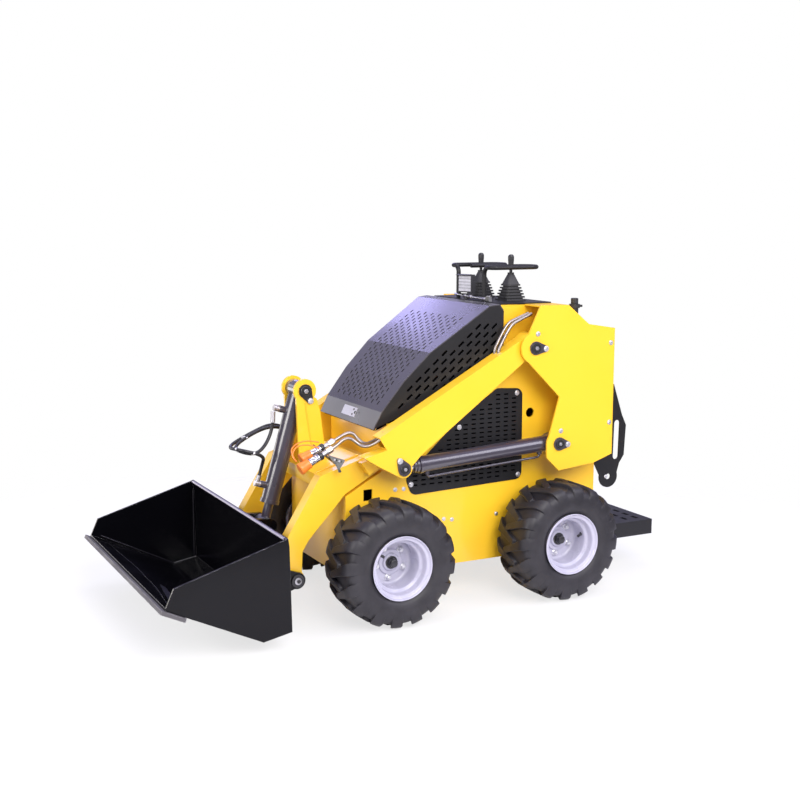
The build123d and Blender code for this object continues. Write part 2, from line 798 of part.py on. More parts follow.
def lift_barrel():
    """A lift cylinder's barrel with the steel pipe under it, from one port to the other."""
    barrel = cylinder_barrel(lift_base, lift_rod_pin, lift_barrel_length, barrel_radius,
                             barrel_bore, lift_centre_y, barrel_radius, 34)
    run = Vector(lift_rod_pin[0] - lift_base[0], 0, lift_rod_pin[1] - lift_base[1]).normalized()
    down = Vector(run.Z, 0, -run.X)
    middle = Vector(lift_base[0], lift_centre_y, lift_base[1])

    def under(distance, depth):
        return middle + run * distance + down * depth

    inside = barrel_radius - 2
    pipe_depth = barrel_radius + 20
    points = [under(62, inside), under(62, pipe_depth), under(566, pipe_depth), under(566, inside)]
    barrel += pipe(points, 14, steel_pipe_radius)
    for distance in (62, 566):
        barrel += bar(under(distance, inside), under(distance, barrel_radius + 8), port_radius)
    return barrel


def tilt_barrel():
    """The tilt cylinder's barrel with a port near each end, on its front."""
    barrel = cylinder_barrel(ear_pin, tilt_rod_pin, tilt_barrel_length, tilt_barrel_radius,
                             tilt_barrel_bore, 0, ear_inner - eye_gap, 34)
    for distance, reach in tilt_ports:
        start, end = tilt_port(distance, tilt_barrel_radius - 2), tilt_port(distance, reach)
        barrel += bar(start, end, port_radius + 2)
    return barrel


def tilt_port(distance, height):
    """A point in front of the tilt cylinder, at a distance down it and a height off its axis."""
    run = Vector(tilt_rod_pin[0] - ear_pin[0], 0, tilt_rod_pin[1] - ear_pin[1]).normalized()
    front = Vector(-run.Z, 0, run.X)
    return Vector(ear_pin[0], 0, ear_pin[1]) + run * distance + front * height


def cylinder_rod(base, tip, length, y, eye_half, eye_radius):
    """A cylinder's rod with its eye and the middle of its pin."""
    reach = hypot(tip[0] - base[0], tip[1] - base[1])
    tail = along(base, tip, reach - length)
    rod = bar((tail[0], y, tail[1]), (tip[0], y, tip[1]), rod_radius)
    return rod + disc(tip, eye_radius, y - eye_half, y + eye_half)


def hose_fittings():
    """The angled fitting on each of the tilt cylinder's ports, with its hose's ferrule."""
    fittings = Part()
    for (distance, reach), route in zip(tilt_ports, hose_routes.values()):
        seat = tilt_port(distance, reach)
        cap = tilt_port(distance, reach + 22)
        start = Vector(*route[0])
        run = (start - Vector(*route[1])).normalized()
        fitting = bar(seat, cap, port_radius + 1)
        fitting += bar(start, start + run * ferrule_length, ferrule_radius)
        fittings += fitting
    return fittings


def hose_gland_blocks():
    """The block on the knee that the tilt cylinder's two hoses end in."""
    (x, low_y), (x, high_y) = hose_glands[1], hose_glands[0]
    foot_z = height_on(knee_rear, knee_front, x - 12) + seat_gap
    return block((x - 12, low_y - 12, foot_z), (x + 12, high_y + 12, hose_end_z - hose_end_gap))


def hose(name):
    """One round hose along its route, with arcs as large as its runs allow."""
    points = [Vector(*point) for point in hose_routes[name]]
    runs = [b - a for a, b in zip(points, points[1:])]
    bends = []
    length = sum(run.length for run in runs)
    for before, after in zip(runs, runs[1:]):
        turn = radians(before.get_angle(after))
        bend = 0.45 * min(before.length, after.length) / tan(turn / 2)
        bends.append(min(bend, 400))
        length += bends[-1] * (turn - 2 * tan(turn / 2))
    path = FilletPolyline(*points, radius=bends)
    start = Plane(origin=path @ 0, z_dir=path % 0)
    tube = Part() + sweep(start * Circle(hose_radius), path=path)
    share = tube.volume / (pi * hose_radius ** 2 * length)
    print(name, "radii", [round(bend) for bend in bends], "length", round(length),
          "volume share", round(share, 4))
    return tube


def bucket_back_x(z):
    """The x of the outside of the bucket's back at a height."""
    (x0, z0), (x1, z1) = bucket_rear_bottom, bucket_step
    return x0 + (z - z0) * (x1 - x0) / (z1 - z0)


def bucket():
    """The bucket's bent back and floor between its two cheeks."""
    line = [bucket_lip, bucket_heel, bucket_rear_bottom, bucket_step, bucket_top_rear]
    shell = sheet(line[::-1], bucket_wall, -bucket_half_width, bucket_half_width)
    cheek = line + [bucket_front_top]
    for side in (-1, 1):
        near, far = sorted((side * bucket_half_width, side * (bucket_half_width - bucket_wall)))
        shell += prism(cheek, near, far)
    return shell


def cutting_edge():
    """The worn strip along the lip, under the bucket's floor."""
    tip = (edge_tip_x, height_on(bucket_heel, bucket_lip, edge_tip_x))
    start = along(tip, bucket_heel, edge_length)
    return sheet([tip, start], edge_wall, -edge_half_width, edge_half_width)


def hitch_plate():
    """The plate behind the bucket with its ears for the legs and lugs for the rod."""
    low_z, high_z = 95, 360
    face = [(bucket_back_x(low_z), low_z), (bucket_back_x(high_z), high_z)]
    plate = sheet(face, hitch_wall, -hitch_half_width, hitch_half_width)
    plate_middle = hitch_wall / 2

    def on_plate(z):
        return (bucket_back_x(z) - plate_middle, z)

    x, z = bucket_pin
    ear = [on_plate(low_z + 5), (x + 10, z - 29), (x - 8, z + 29), on_plate(240)]
    x, z = tilt_rod_pin
    lug = [on_plate(255), (x - 5, z - 29), (x - 2, z + 29), on_plate(high_z - 4)]
    outer_near = leg_outer + hitch_ear_gap
    inner_far = leg_inner - hitch_ear_gap
    for side in (-1, 1):
        for near in (outer_near, inner_far - hitch_ear_wall):
            low, high = sorted((side * near, side * (near + hitch_ear_wall)))
            arm = prism(ear, low, high) + disc(bucket_pin, 31, low, high)
            plate += arm - disc(bucket_pin, bucket_pin_radius + pin_fit, low, high)
        low, high = sorted((side * tilt_lug_inner, side * (tilt_lug_inner + tilt_lug_wall)))
        plate += prism(lug, low, high) + disc(tilt_rod_pin, 30, low, high)
    return plate


def hitch_pins():
    """The two pins that carry the hitch on the legs' feet."""
    near = leg_inner - hitch_ear_gap - hitch_ear_wall
    far = leg_outer + hitch_ear_gap + hitch_ear_wall
    pin = disc(bucket_pin, bucket_pin_radius, near, far)
    pin += disc(bucket_pin, retainer_radius - 2, far, far + retainer_depth)
    return Part() + [pin, mirrored(pin)]


def rim():
    """A deep-dished wheel on its axle, about the axle at the origin of X and Z."""
    low = wheel_centre_y - rim_width / 2
    high = wheel_centre_y + rim_width / 2
    bead = bead_radius
    flange = rim_flange_radius
    lip = rim_flange_depth / 2
    # The section's points are (r, y)
    section = [
        (flange, low), (flange, low + lip), (bead, low + rim_flange_depth),
        (bead, high - rim_flange_depth), (flange, high - lip), (flange, high),
        (flange - rim_wall, high), (bead - rim_wall, high - rim_flange_depth),
        (bead - rim_wall, hub_face_y), (hub_radius, hub_face_y),
        (hub_radius, hub_face_y + 22), (axle_radius, hub_face_y + 22),
        (axle_radius, hub_face_y + 34), (0, hub_face_y + 34),
        (0, side_plate_outer + 4), (axle_radius, side_plate_outer + 4),
        (axle_radius, side_plate_outer + wheel_motor_length + moving_gap),
        (hub_radius, side_plate_outer + wheel_motor_length + moving_gap + 8),
        (hub_radius, hub_face_y - hub_disc_wall),
        (bead - rim_wall, hub_face_y - hub_disc_wall),
        (bead - rim_wall, low + rim_flange_depth), (flange - rim_wall, low),
    ]
    wire = Wire.make_polygon([(r, y, 0) for r, y in section], close=True)
    return revolve(Face(wire), Axis.Y, 360)


def tyre():
    """A wide tyre with slanted lugs, about the axle at the origin of X and Z."""
    low = wheel_centre_y - tyre_width / 2
    high = wheel_centre_y + tyre_width / 2
    inner = bead_radius + seat_gap
    bead_low = wheel_centre_y - rim_width / 2 + rim_flange_depth + 1
    bead_high = wheel_centre_y + rim_width / 2 - rim_flange_depth - 1

    def revolved(crown, shoulder):
        """The tyre's form with a crown radius and shoulders that drop by some millimetres."""
        # The section's points are (r, y)
        section = [
            (inner, bead_low), (rim_flange_radius + 6, low + 10), (rim_flange_radius + 30, low),
            (tyre_radius - 50, low), (crown - shoulder, low + 8), (crown, low + 30),
            (crown, high - 30), (crown - shoulder, high - 8),
            (tyre_radius - 50, high), (rim_flange_radius + 30, high),
            (rim_flange_radius + 6, high - 10), (inner, bead_high),
        ]
        wire = Wire.make_polygon([(r, y, 0) for r, y in section], close=True)
        return revolve(Face(wire), Axis.Y, 360)

    # One lug is drawn at the front of the wheel, on (z, y) points across the tread
    half = tyre_width / 2
    lug = [
        (lug_slant / 2 - lug_outer_width / 2, wheel_centre_y + half),
        (-lug_slant / 2 - lug_inner_width / 2, wheel_centre_y - lug_inner_reach),
        (-lug_slant / 2 + lug_inner_width / 2, wheel_centre_y - lug_inner_reach),
        (lug_slant / 2 + lug_outer_width / 2, wheel_centre_y + half),
    ]
    near_x = tread_radius - 14
    face = Face(Wire.make_polygon([(near_x, y, z) for z, y in lug], close=True))
    outer_lug = extrude(face, tyre_radius - near_x + 10, dir=(1, 0, 0))
    inner_lug = mirror(outer_lug, about=Plane.XZ.offset(-wheel_centre_y))
    pitch = 360 / lugs_per_side
    lugs = []
    for i in range(lugs_per_side):
        lugs.append(Rot(0, -i * pitch, 0) * outer_lug)
        lugs.append(Rot(0, -(i + 0.5) * pitch, 0) * inner_lug)
    treads = revolved(tyre_radius, 10) & (Part() + lugs)
    return revolved(tread_radius, 8) + treads


def save(name, part):
    """Write one piece, moved from the axles' middle to the whole machine's."""
    export_step(Pos(-middle_x, 0, 0) * part, f"parts/{name}.step")


def save_pair(name, part):
    save(name + "_left", part)
    save(name + "_right", mirrored(part))


for name, part in (
    ("belly_plate", belly_plate()),
    ("front_plate", front_plate()),
    ("firewall", firewall()),
    ("rear_panel", rear_panel()),
    ("dash_console", dash_console()),
    ("engine_block", engine_block()),
    ("wheel_motors", wheel_motors()),
    ("rear_platform", rear_platform()),
    ("pivot_pins", pivot_pins()),
    ("hand_rails", hand_rails()),
    ("control_levers", control_levers()),
    ("lever_boots", lever_boots()),
    ("work_lamp", work_lamp()),
    ("filler_cap", filler_cap()),
    ("hood", hood()),
    ("hood_hinges", hood_hinges()),
    ("crosshead", crosshead()),
    ("tilt_ears", tilt_ears()),
    ("tilt_ear_pin", tilt_ear_pin()),
    ("rod_pin_bosses", rod_pin_bosses()),
    ("boom_pipes", boom_pipes()),
    ("aux_couplers", aux_couplers()),
    ("coupler_caps", coupler_caps()),
    ("tilt_barrel", tilt_barrel()),
    ("hose_fittings", hose_fittings()),
    ("hose_gland_blocks", hose_gland_blocks()),
    ("tilt_hose_upper", hose("tilt_hose_upper")),
    ("tilt_hose_lower", hose("tilt_hose_lower")),
    ("tilt_rod", cylinder_rod(ear_pin, tilt_rod_pin, tilt_rod_length, 0,
                              tilt_lug_inner - eye_gap, 28)),
    ("hitch_plate", hitch_plate()),
    ("hitch_pins", hitch_pins()),
    ("bucket", bucket()),
    ("cutting_edge", cutting_edge()),
):
    save(name, part)

lift_eye_half = beam_width / 2 - lug_wall - eye_gap
for name, part in (
    ("side_plate", side_plate()),
    ("tower", tower()),
    ("grille", grille()),
    ("guard_bracket", guard_bracket()),
    ("beam", beam()),
    ("leg", leg()),
    ("lift_barrel", lift_barrel()),
    ("hood_side", hood_side()),
    ("lift_rod", cylinder_rod(lift_base, lift_rod_pin, lift_rod_length, lift_centre_y,
                              lift_eye_half, 30)),
):
    save_pair(name, part)

one_rim = rim()
one_tyre = tyre()
for end, x in (("front", half_wheelbase), ("rear", -half_wheelbase)):
    save_pair(f"rim_{end}", Pos(x, 0, tyre_radius) * one_rim)
    save_pair(f"tyre_{end}", Pos(x, 0, tyre_radius) * one_tyre)
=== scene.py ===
# The looks of a compact skid steer loader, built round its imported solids. Metres.
# X points forward, Y to the machine's left and Z up; the ground is at Z 0.
import bpy
from math import cos, pi, radians, sin
from mathutils import Matrix, Vector
import json


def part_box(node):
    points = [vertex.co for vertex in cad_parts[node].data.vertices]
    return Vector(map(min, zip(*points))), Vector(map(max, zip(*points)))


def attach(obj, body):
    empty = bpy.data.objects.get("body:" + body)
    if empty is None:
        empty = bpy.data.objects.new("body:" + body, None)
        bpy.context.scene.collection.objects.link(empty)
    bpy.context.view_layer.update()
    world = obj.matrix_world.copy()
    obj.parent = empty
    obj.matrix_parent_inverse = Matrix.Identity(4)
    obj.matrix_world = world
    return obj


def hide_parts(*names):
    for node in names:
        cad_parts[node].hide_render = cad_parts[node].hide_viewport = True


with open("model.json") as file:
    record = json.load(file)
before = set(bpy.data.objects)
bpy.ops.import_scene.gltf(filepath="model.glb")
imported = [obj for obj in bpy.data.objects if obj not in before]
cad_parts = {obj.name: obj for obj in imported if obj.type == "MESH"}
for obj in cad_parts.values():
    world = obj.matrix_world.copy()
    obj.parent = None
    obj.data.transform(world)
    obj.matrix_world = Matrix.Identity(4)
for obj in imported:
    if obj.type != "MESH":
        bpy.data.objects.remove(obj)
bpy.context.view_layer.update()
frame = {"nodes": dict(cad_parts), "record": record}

# Outlines are measured from the middle of the axles, which lies this far behind the origin
AXLES_X = -0.147
TO_LEFT = (0, 1, 0)
UPWARDS = (0, 0, 1)


def at(x, y, z):
    """A point measured from the ground midway between the axles, in the part's frame."""
    return Vector((x + AXLES_X, y, z))


# The pins as (x, z), then the distances of outer faces and of the lift cylinders' middles
# from the machine's middle plane
BOOM_PIVOT = (-0.270, 0.982)
LIFT_BASE = (-0.388, 0.600)
LIFT_EYE = (0.285, 0.558)
EAR_PIN = (0.553, 0.828)
BUCKET_PIN = (0.680, 0.165)
SIDE_Y = 0.264
GRILLE_Y = 0.267
TOWER_Y = 0.380
TOWER_RETAINER_Y = 0.386
LIFT_RETAINER_Y = 0.368
EAR_RETAINER_Y = 0.071
LIFT_Y = 0.332

# Camera: where the photograph was taken from, and how it was turned
CAMERA_PLACE = at(2.3123, 4.2743, 1.4834)
CAMERA_YAW = radians(27.18)
CAMERA_PITCH = radians(8.611)
CAMERA_ROLL = radians(0.126)
CAMERA_LENS = 54.9


def make_camera():
    """A camera that looks down at the machine from its front left corner."""
    data = bpy.data.cameras.new("camera")
    data.lens = CAMERA_LENS
    data.sensor_width = 36
    camera = bpy.data.objects.new("camera", data)
    bpy.context.scene.collection.objects.link(camera)
    ahead = Vector((-sin(CAMERA_YAW) * cos(CAMERA_PITCH), -cos(CAMERA_YAW) * cos(CAMERA_PITCH),
                    -sin(CAMERA_PITCH)))
    right = ahead.cross(Vector(UPWARDS)).normalized()
    up = right.cross(ahead)
    turned_right = right * cos(CAMERA_ROLL) + up * sin(CAMERA_ROLL)
    turned_up = up * cos(CAMERA_ROLL) - right * sin(CAMERA_ROLL)
    turn = Matrix((turned_right, turned_up, -ahead)).transposed().to_4x4()
    camera.matrix_world = Matrix.Translation(CAMERA_PLACE) @ turn
    bpy.context.scene.camera = camera


def set_inputs(tree, node, inputs):
    """Sets each named input to a value, or joins it to another node's socket."""
    for key, value in inputs.items():
        if isinstance(value, bpy.types.NodeSocket):
            tree.links.new(value, node.inputs[key])
        else:
            node.inputs[key].default_value = value


def add_node(tree, kind, inputs=None, **settings):
    """A shader node with its settings and its inputs."""
    node = tree.nodes.new("ShaderNode" + kind)
    for name, value in settings.items():
        setattr(node, name, value)
    set_inputs(tree, node, inputs or {})
    return node


def maths(tree, operation, first, second):
    return add_node(tree, "Math", {0: first, 1: second}, operation=operation).outputs[0]


def ramp(tree, source, stops):
    """A colour ramp over a value, from (position, colour) stops."""
    node = add_node(tree, "ValToRGB", {"Fac": source})
    elements = node.color_ramp.elements
    elements[0].position, elements[0].color = stops[0]
    elements[1].position, elements[1].color = stops[-1]
    for position, colour in stops[1:-1]:
        elements.new(position).color = colour
    return node.outputs["Color"]


def grey(value):
    return (value, value, value, 1)


def opaque(colour):
    return (*colour, 1)


def new_material(name):
    """A node material, its node tree and its Principled shader."""
    material = bpy.data.materials.new(name)
    material.use_nodes = True
    tree = material.node_tree
    return material, tree, tree.nodes["Principled BSDF"]


# The sky's colours by the height a ray points to
SKY_STOPS = [(0.0, (0.50, 0.49, 0.50, 1)), (0.12, (0.44, 0.43, 0.50, 1)),
             (0.45, (0.60, 0.57, 0.92, 1)), (1.0, (0.70, 0.66, 1, 1))]
SKY_STRENGTH = 0.75
FLOOR_RADIUS = 6.0
FLOOR_SOLID_RADIUS = 1.3
FLOOR_FADED_RADIUS = 2.6
# The share of the floor's shading that the camera sees over the white world
FLOOR_SHOWN = 0.3
MIDDLE = (0, 0, 0.6)
# Lamps: name, place, the point that they face, size, power and tint
LAMPS = [
    ("key", (0.6, 4.6, 3.4), MIDDLE, (3.0, 3.0), 250, (1, 0.98, 0.93)),
    ("front", (4.6, 1.4, 2.2), MIDDLE, (2.2, 2.2), 130, (1, 0.97, 0.92)),
    ("top", (-0.3, -0.4, 4.5), MIDDLE, (3.0, 3.0), 50, (1, 1, 1)),
    ("beside", (-3.0, 3.6, 3.2), MIDDLE, (2.4, 2.4), 100, (0.92, 0.90, 1)),
    ("beyond_high", (-1.35, -4.3, 2.95), (0, 0, 1), (1.7, 1.0), 30, (0.52, 0.48, 1)),
    ("nose", (2.1, -3.0, 0.5), (0.3, 0, 0.6), (1.5, 0.9), 13, (1, 0.95, 0.90)),
    ("beyond_low", (2.2, -4.3, 1.8), (0, 0, 0.8), (1.2, 0.9), 5, (1, 1, 1)),
]


def area_light(name, place, target, size, power, tint):
    data = bpy.data.lights.new(name, "AREA")
    data.shape = "RECTANGLE"
    data.size, data.size_y = size
    data.energy = power
    data.color = tint
    lamp = bpy.data.objects.new(name, data)
    bpy.context.scene.collection.objects.link(lamp)
    lamp.location = place
    lamp.rotation_mode = "QUATERNION"
    lamp.rotation_quaternion = (Vector(target) - Vector(place)).to_track_quat("-Z", "Y")


def sky_light(tree):
    """A lavender sky over a dim horizon, which lights the machine and shows in its gloss."""
    place = add_node(tree, "TexCoord")
    split = add_node(tree, "SeparateXYZ", {0: place.outputs["Generated"]})
    sky = add_node(tree, "Background", {"Color": ramp(tree, split.outputs["Z"], SKY_STOPS),
                                        "Strength": SKY_STRENGTH})
    return sky.outputs[0]


def fading_floor():
    """A pale matt floor that thins out into the white round it."""
    pale, tree, shader = new_material("pale_floor")
    set_inputs(tree, shader, {"Base Color": grey(0.96), "Roughness": 0.9})
    place = add_node(tree, "TexCoord")
    distance = add_node(tree, "VectorMath", {0: place.outputs["Object"]}, operation="LENGTH")
    fade = add_node(tree, "MapRange", {"Value": distance.outputs["Value"],
                                       "From Min": FLOOR_SOLID_RADIUS,
                                       "From Max": FLOOR_FADED_RADIUS},
                    interpolation_type="SMOOTHSTEP")
    ray = add_node(tree, "LightPath")
    faint = maths(tree, "MULTIPLY", ray.outputs["Is Camera Ray"], 1 - FLOOR_SHOWN)
    most = maths(tree, "MAXIMUM", fade.outputs["Result"], faint)
    clear = add_node(tree, "BsdfTransparent")
    mix = add_node(tree, "MixShader", {0: most, 1: shader.outputs[0], 2: clear.outputs[0]})
    set_inputs(tree, tree.nodes["Material Output"], {"Surface": mix.outputs[0]})
    return pale


def make_stage():
    """A pale floor and a white world, with soft lamps above and beside the machine."""
    world = bpy.data.worlds.new("studio")
    bpy.context.scene.world = world
    world.use_nodes = True
    tree = world.node_tree
    tree.nodes.clear()
    white = add_node(tree, "Background", {"Color": grey(1)})
    ray = add_node(tree, "LightPath")
    mix = add_node(tree, "MixShader", {0: ray.outputs["Is Camera Ray"], 1: sky_light(tree),
                                       2: white.outputs[0]})
    add_node(tree, "OutputWorld", {"Surface": mix.outputs[0]})

    bpy.ops.mesh.primitive_circle_add(vertices=96, radius=FLOOR_RADIUS, fill_type="NGON")
    floor = bpy.context.object
    floor.name = "floor"
    floor.data.materials.append(fading_floor())
    for lamp in LAMPS:
        area_light(*lamp)


def object_noise(tree, scale, detail, roughness=0.5, stretch=None):
    """Noise in the object's own metres."""
    source = add_node(tree, "TexCoord").outputs["Object"]
    if stretch:
        source = add_node(tree, "Mapping", {"Vector": source, "Scale": stretch}).outputs[0]
    noise = add_node(tree, "TexNoise", {"Vector": source, "Scale": scale, "Detail": detail,
                                        "Roughness": roughness})
    return noise.outputs["Fac"]


def mixed(tree, factor, first, second):
    """A mix of two colours by a socket's value."""
    node = add_node(tree, "Mix", {"Factor": factor, "A": opaque(first), "B": opaque(second)},
                    data_type="RGBA")
    return node.outputs["Result"]


def edge_mask(tree, radius):
    """White near outer and inner edges, from how far a rounded normal leaves the flat one."""
    rounded = add_node(tree, "Bevel", {"Radius": radius}, samples=4)
    flat = add_node(tree, "NewGeometry")
    dot = add_node(tree, "VectorMath", {0: rounded.outputs["Normal"], 1: flat.outputs["Normal"]},
                   operation="DOT_PRODUCT")
    return ramp(tree, dot.outputs["Value"], [(0.55, grey(1)), (0.97, grey(0))])


def add_bump(tree, shader, height, strength, distance, bevel):
    """A bump from a height, over normals rounded at the edges."""
    rounded = add_node(tree, "Bevel", {"Radius": bevel}, samples=4)
    bump = add_node(tree, "Bump", {"Height": height, "Strength": strength,
                                   "Distance": distance, "Normal": rounded.outputs["Normal"]})
    set_inputs(tree, shader, {"Normal": bump.outputs["Normal"]})


def paint(name, colour, deep, roughness, coat, bevel=0.0015, shine=0.5):
    """Sprayed enamel: a slight drift of colour, orange peel and softened edges."""
    material, tree, shader = new_material(name)
    gloss = ramp(tree, object_noise(tree, 9, 5),
                 [(0.3, grey(roughness)), (0.7, grey(roughness * 1.25))])
    set_inputs(tree, shader, {
        "Base Color": mixed(tree, object_noise(tree, 2.5, 4), colour, deep), "Roughness": gloss,
        "Specular IOR Level": shine, "Coat Weight": coat, "Coat Roughness": 0.12})
    add_bump(tree, shader, object_noise(tree, 500, 2), 0.05, 0.0004, bevel)
    return material


WORN_SHINE = 0.22


def worn_and_highlit_paint(name, colour, roughness, bare_and_highlight_colour, edge, scuff):
    """Paint that is rubbed to bare steel at its edges and scuffed on its faces; on the bucket the
    bright bare edges are partly wear and partly painted highlight of its lit edges.
    """
    material, tree, shader = new_material(name)
    patches = ramp(tree, object_noise(tree, 28, 8, 0.7), [(0.42, grey(0)), (0.60, grey(1))])
    edge_wear_and_highlight = maths(tree, "MULTIPLY", edge_mask(tree, edge), patches)
    scratches = ramp(tree, object_noise(tree, 14, 10, 0.75, (1, 0.25, 3)),
                     [(0.60, grey(0)), (0.75, grey(scuff))])
    most = maths(tree, "MAXIMUM", edge_wear_and_highlight, scratches)
    gloss = ramp(tree, object_noise(tree, 6, 6),
                 [(0.3, grey(roughness)), (0.75, grey(roughness * 1.9))])
    set_inputs(tree, shader, {
        "Base Color": mixed(tree, most, colour, bare_and_highlight_colour), "Metallic": most, "Roughness": gloss,
        "Specular IOR Level": WORN_SHINE})
    add_bump(tree, shader, object_noise(tree, 120, 4), 0.08, 0.0006, 0.0015)
    return material


def metal(name, colour, roughness, grain):
    """Bare or plated metal with fine grain."""
    material, tree, shader = new_material(name)
    fine = object_noise(tree, grain, 6, 0.65)
    darker = [0.8 * c for c in colour]
    set_inputs(tree, shader, {
        "Metallic": 1,
        "Base Color": ramp(tree, fine, [(0.3, opaque(darker)), (0.7, opaque(colour))]),
        "Roughness": ramp(tree, fine, [(0.3, grey(roughness)), (0.7, grey(roughness * 1.6))])})
    add_bump(tree, shader, fine, 0.05, 0.0003, 0.0008)
    return material


def moulded(name, colour, roughness, grain=900, bump=0.15, bevel=0.001):
    """Rubber or plastic with a fine moulded grain."""
    material, tree, shader = new_material(name)
    drift = object_noise(tree, 12, 6, 0.6)
    lighter = [min(1, 1.7 * c + 0.01) for c in colour]
    set_inputs(tree, shader, {
        "Base Color": ramp(tree, drift, [(0.35, opaque(colour)), (0.75, opaque(lighter))]),
        "Roughness": ramp(tree, drift, [(0.3, grey(roughness)), (0.7, grey(roughness * 1.2))])})
    add_bump(tree, shader, object_noise(tree, grain, 2), bump, 0.0004, bevel)
    return material


YELLOW = paint("yellow_enamel", (0.95, 0.585, 0.026), (0.92, 0.53, 0.018), 0.36, 0.4)
HOOD_GREY = paint("hood_satin", (0.062, 0.059, 0.068), (0.052, 0.049, 0.058), 0.25, 0.5)
BLACK = paint("black_satin", (0.008, 0.008, 0.009), (0.012, 0.012, 0.014), 0.40, 0.05, shine=0.35)
CYLINDER = paint("cylinder_satin", (0.036, 0.031, 0.046), (0.044, 0.038, 0.054), 0.26, 1.0)
# The bucket's bright bare edge lines are partly wear and partly painted highlight along its lit
# edges
BUCKET = worn_and_highlit_paint("bucket_gloss", (0.002, 0.002, 0.003), 0.12, (0.40, 0.39, 0.40), 0.0025, 0.0)
SCRAPED = worn_and_highlit_paint("bucket_scraped", (0.004, 0.004, 0.006), 0.25, (0.50, 0.49, 0.46), 0.002, 1.0)
# A lavender grey on the black bucket's rolled top edge: painted highlight of the sky's sheen on
# the rounded lip
ROLLED_EDGE_HIGHLIGHT = paint("rolled_edge_painted_highlight", (0.26, 0.24, 0.32), (0.22, 0.20, 0.28), 0.22, 0.8)
WELD = paint("painted_weld", (0.006, 0.006, 0.008), (0.010, 0.009, 0.014), 0.22, 0.6, 0.0004)
WELD_YELLOW = paint("yellow_weld", (0.90, 0.50, 0.020), (0.85, 0.44, 0.015), 0.30, 0.5, 0.0004)
EDGE_STEEL = worn_and_highlit_paint("edge_steel", (0.10, 0.095, 0.10), 0.35, (0.52, 0.50, 0.54), 0.005, 0.9)
CHROME = metal("chrome", (0.66, 0.66, 0.70), 0.10, 60)
ZINC = metal("zinc", (0.58, 0.57, 0.60), 0.30, 200)
RIM = paint("rim_silver", (0.49, 0.48, 0.58), (0.43, 0.42, 0.52), 0.24, 0.6, 0.0008)
TYRE = moulded("tyre_rubber", (0.009, 0.008, 0.011), 0.46, 260, 0.20, 0.002)
RUBBER = moulded("black_rubber", (0.022, 0.022, 0.024), 0.55)
PLASTIC = moulded("black_plastic", (0.014, 0.014, 0.016), 0.35, 1400, 0.1)
CAST = metal("cast_metal", (0.20, 0.20, 0.21), 0.55, 120)
HOSE = moulded("hose_rubber", (0.010, 0.010, 0.012), 0.34, 700, 0.12)
TIE_WHITE = moulded("tie_white", (0.62, 0.62, 0.64), 0.35, 1400, 0.05)
PIPE = metal("pipe_steel", (0.40, 0.36, 0.34), 0.28, 90)
BOLT_STEEL = metal("bolt_steel", (0.86, 0.86, 0.88), 0.32, 400)
LATCH = metal("latch_plate", (0.88, 0.87, 0.90), 0.30, 300)
ORANGE = moulded("orange_cap", (0.72, 0.17, 0.02), 0.3, 1400, 0.05)
PIN_BLACK = paint("pin_black", (0.012, 0.012, 0.014), (0.020, 0.020, 0.022), 0.30, 0.3, 0.0006)
LAMP_GREY = moulded("lamp_case", (0.030, 0.030, 0.034), 0.35, 1400, 0.05)
LENS = moulded("lamp_lens", (0.46, 0.46, 0.50), 0.12, 300, 0.3)
# A flat black without gloss: painted shade that fills the slots of the hood and the grilles
SHADE_SCREEN = paint("painted_shade_screen", (0.0015, 0.0015, 0.002), (0.002, 0.002, 0.002), 0.8, 0.0, 0.0002, 0.0)

SLOT_LOOKS = {
    "yellow_paint": YELLOW, "dark_paint": HOOD_GREY, "black_paint": BLACK,
    "bucket_black": BUCKET, "worn_steel": EDGE_STEEL, "cylinder_black": CYLINDER,
    "chrome": CHROME, "rim_silver": RIM, "tyre_rubber": TYRE, "black_rubber": RUBBER,
    "black_plastic": PLASTIC, "orange_plastic": ORANGE, "grey_plastic": LAMP_GREY,
    "cast_metal": CAST, "zinc": ZINC,
}
# Pieces that don't look like the rest of their slot
NODE_LOOKS = {"tilt_rod": CYLINDER, "hitch_pins": PIN_BLACK, "tilt_ear_pin": PIN_BLACK}


def dress_nodes():
    """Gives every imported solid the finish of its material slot."""
    for part in frame["record"]["subparts"]:
        node = frame["nodes"][part["node"]]
        node.data.materials.clear()
        look = NODE_LOOKS.get(part["node"], SLOT_LOOKS[part["material_slot"]])
        node.data.materials.append(look)


def place_mesh(name, points, faces, material, body, smooth=True):
    """A mesh object that rides on a body."""
    mesh = bpy.data.meshes.new(name)
    mesh.from_pydata([tuple(point) for point in points], [], faces)
    mesh.materials.append(material)
    if smooth:
        mesh.shade_smooth()
    thing = bpy.data.objects.new(name, mesh)
    bpy.context.scene.collection.objects.link(thing)
    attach(thing, body)
    return thing


def keep_edges(thing, angle):
    """Shades a smooth mesh flat across its edges that are sharper than an angle."""
    thing.modifiers.new("edges", "EDGE_SPLIT").split_angle = angle


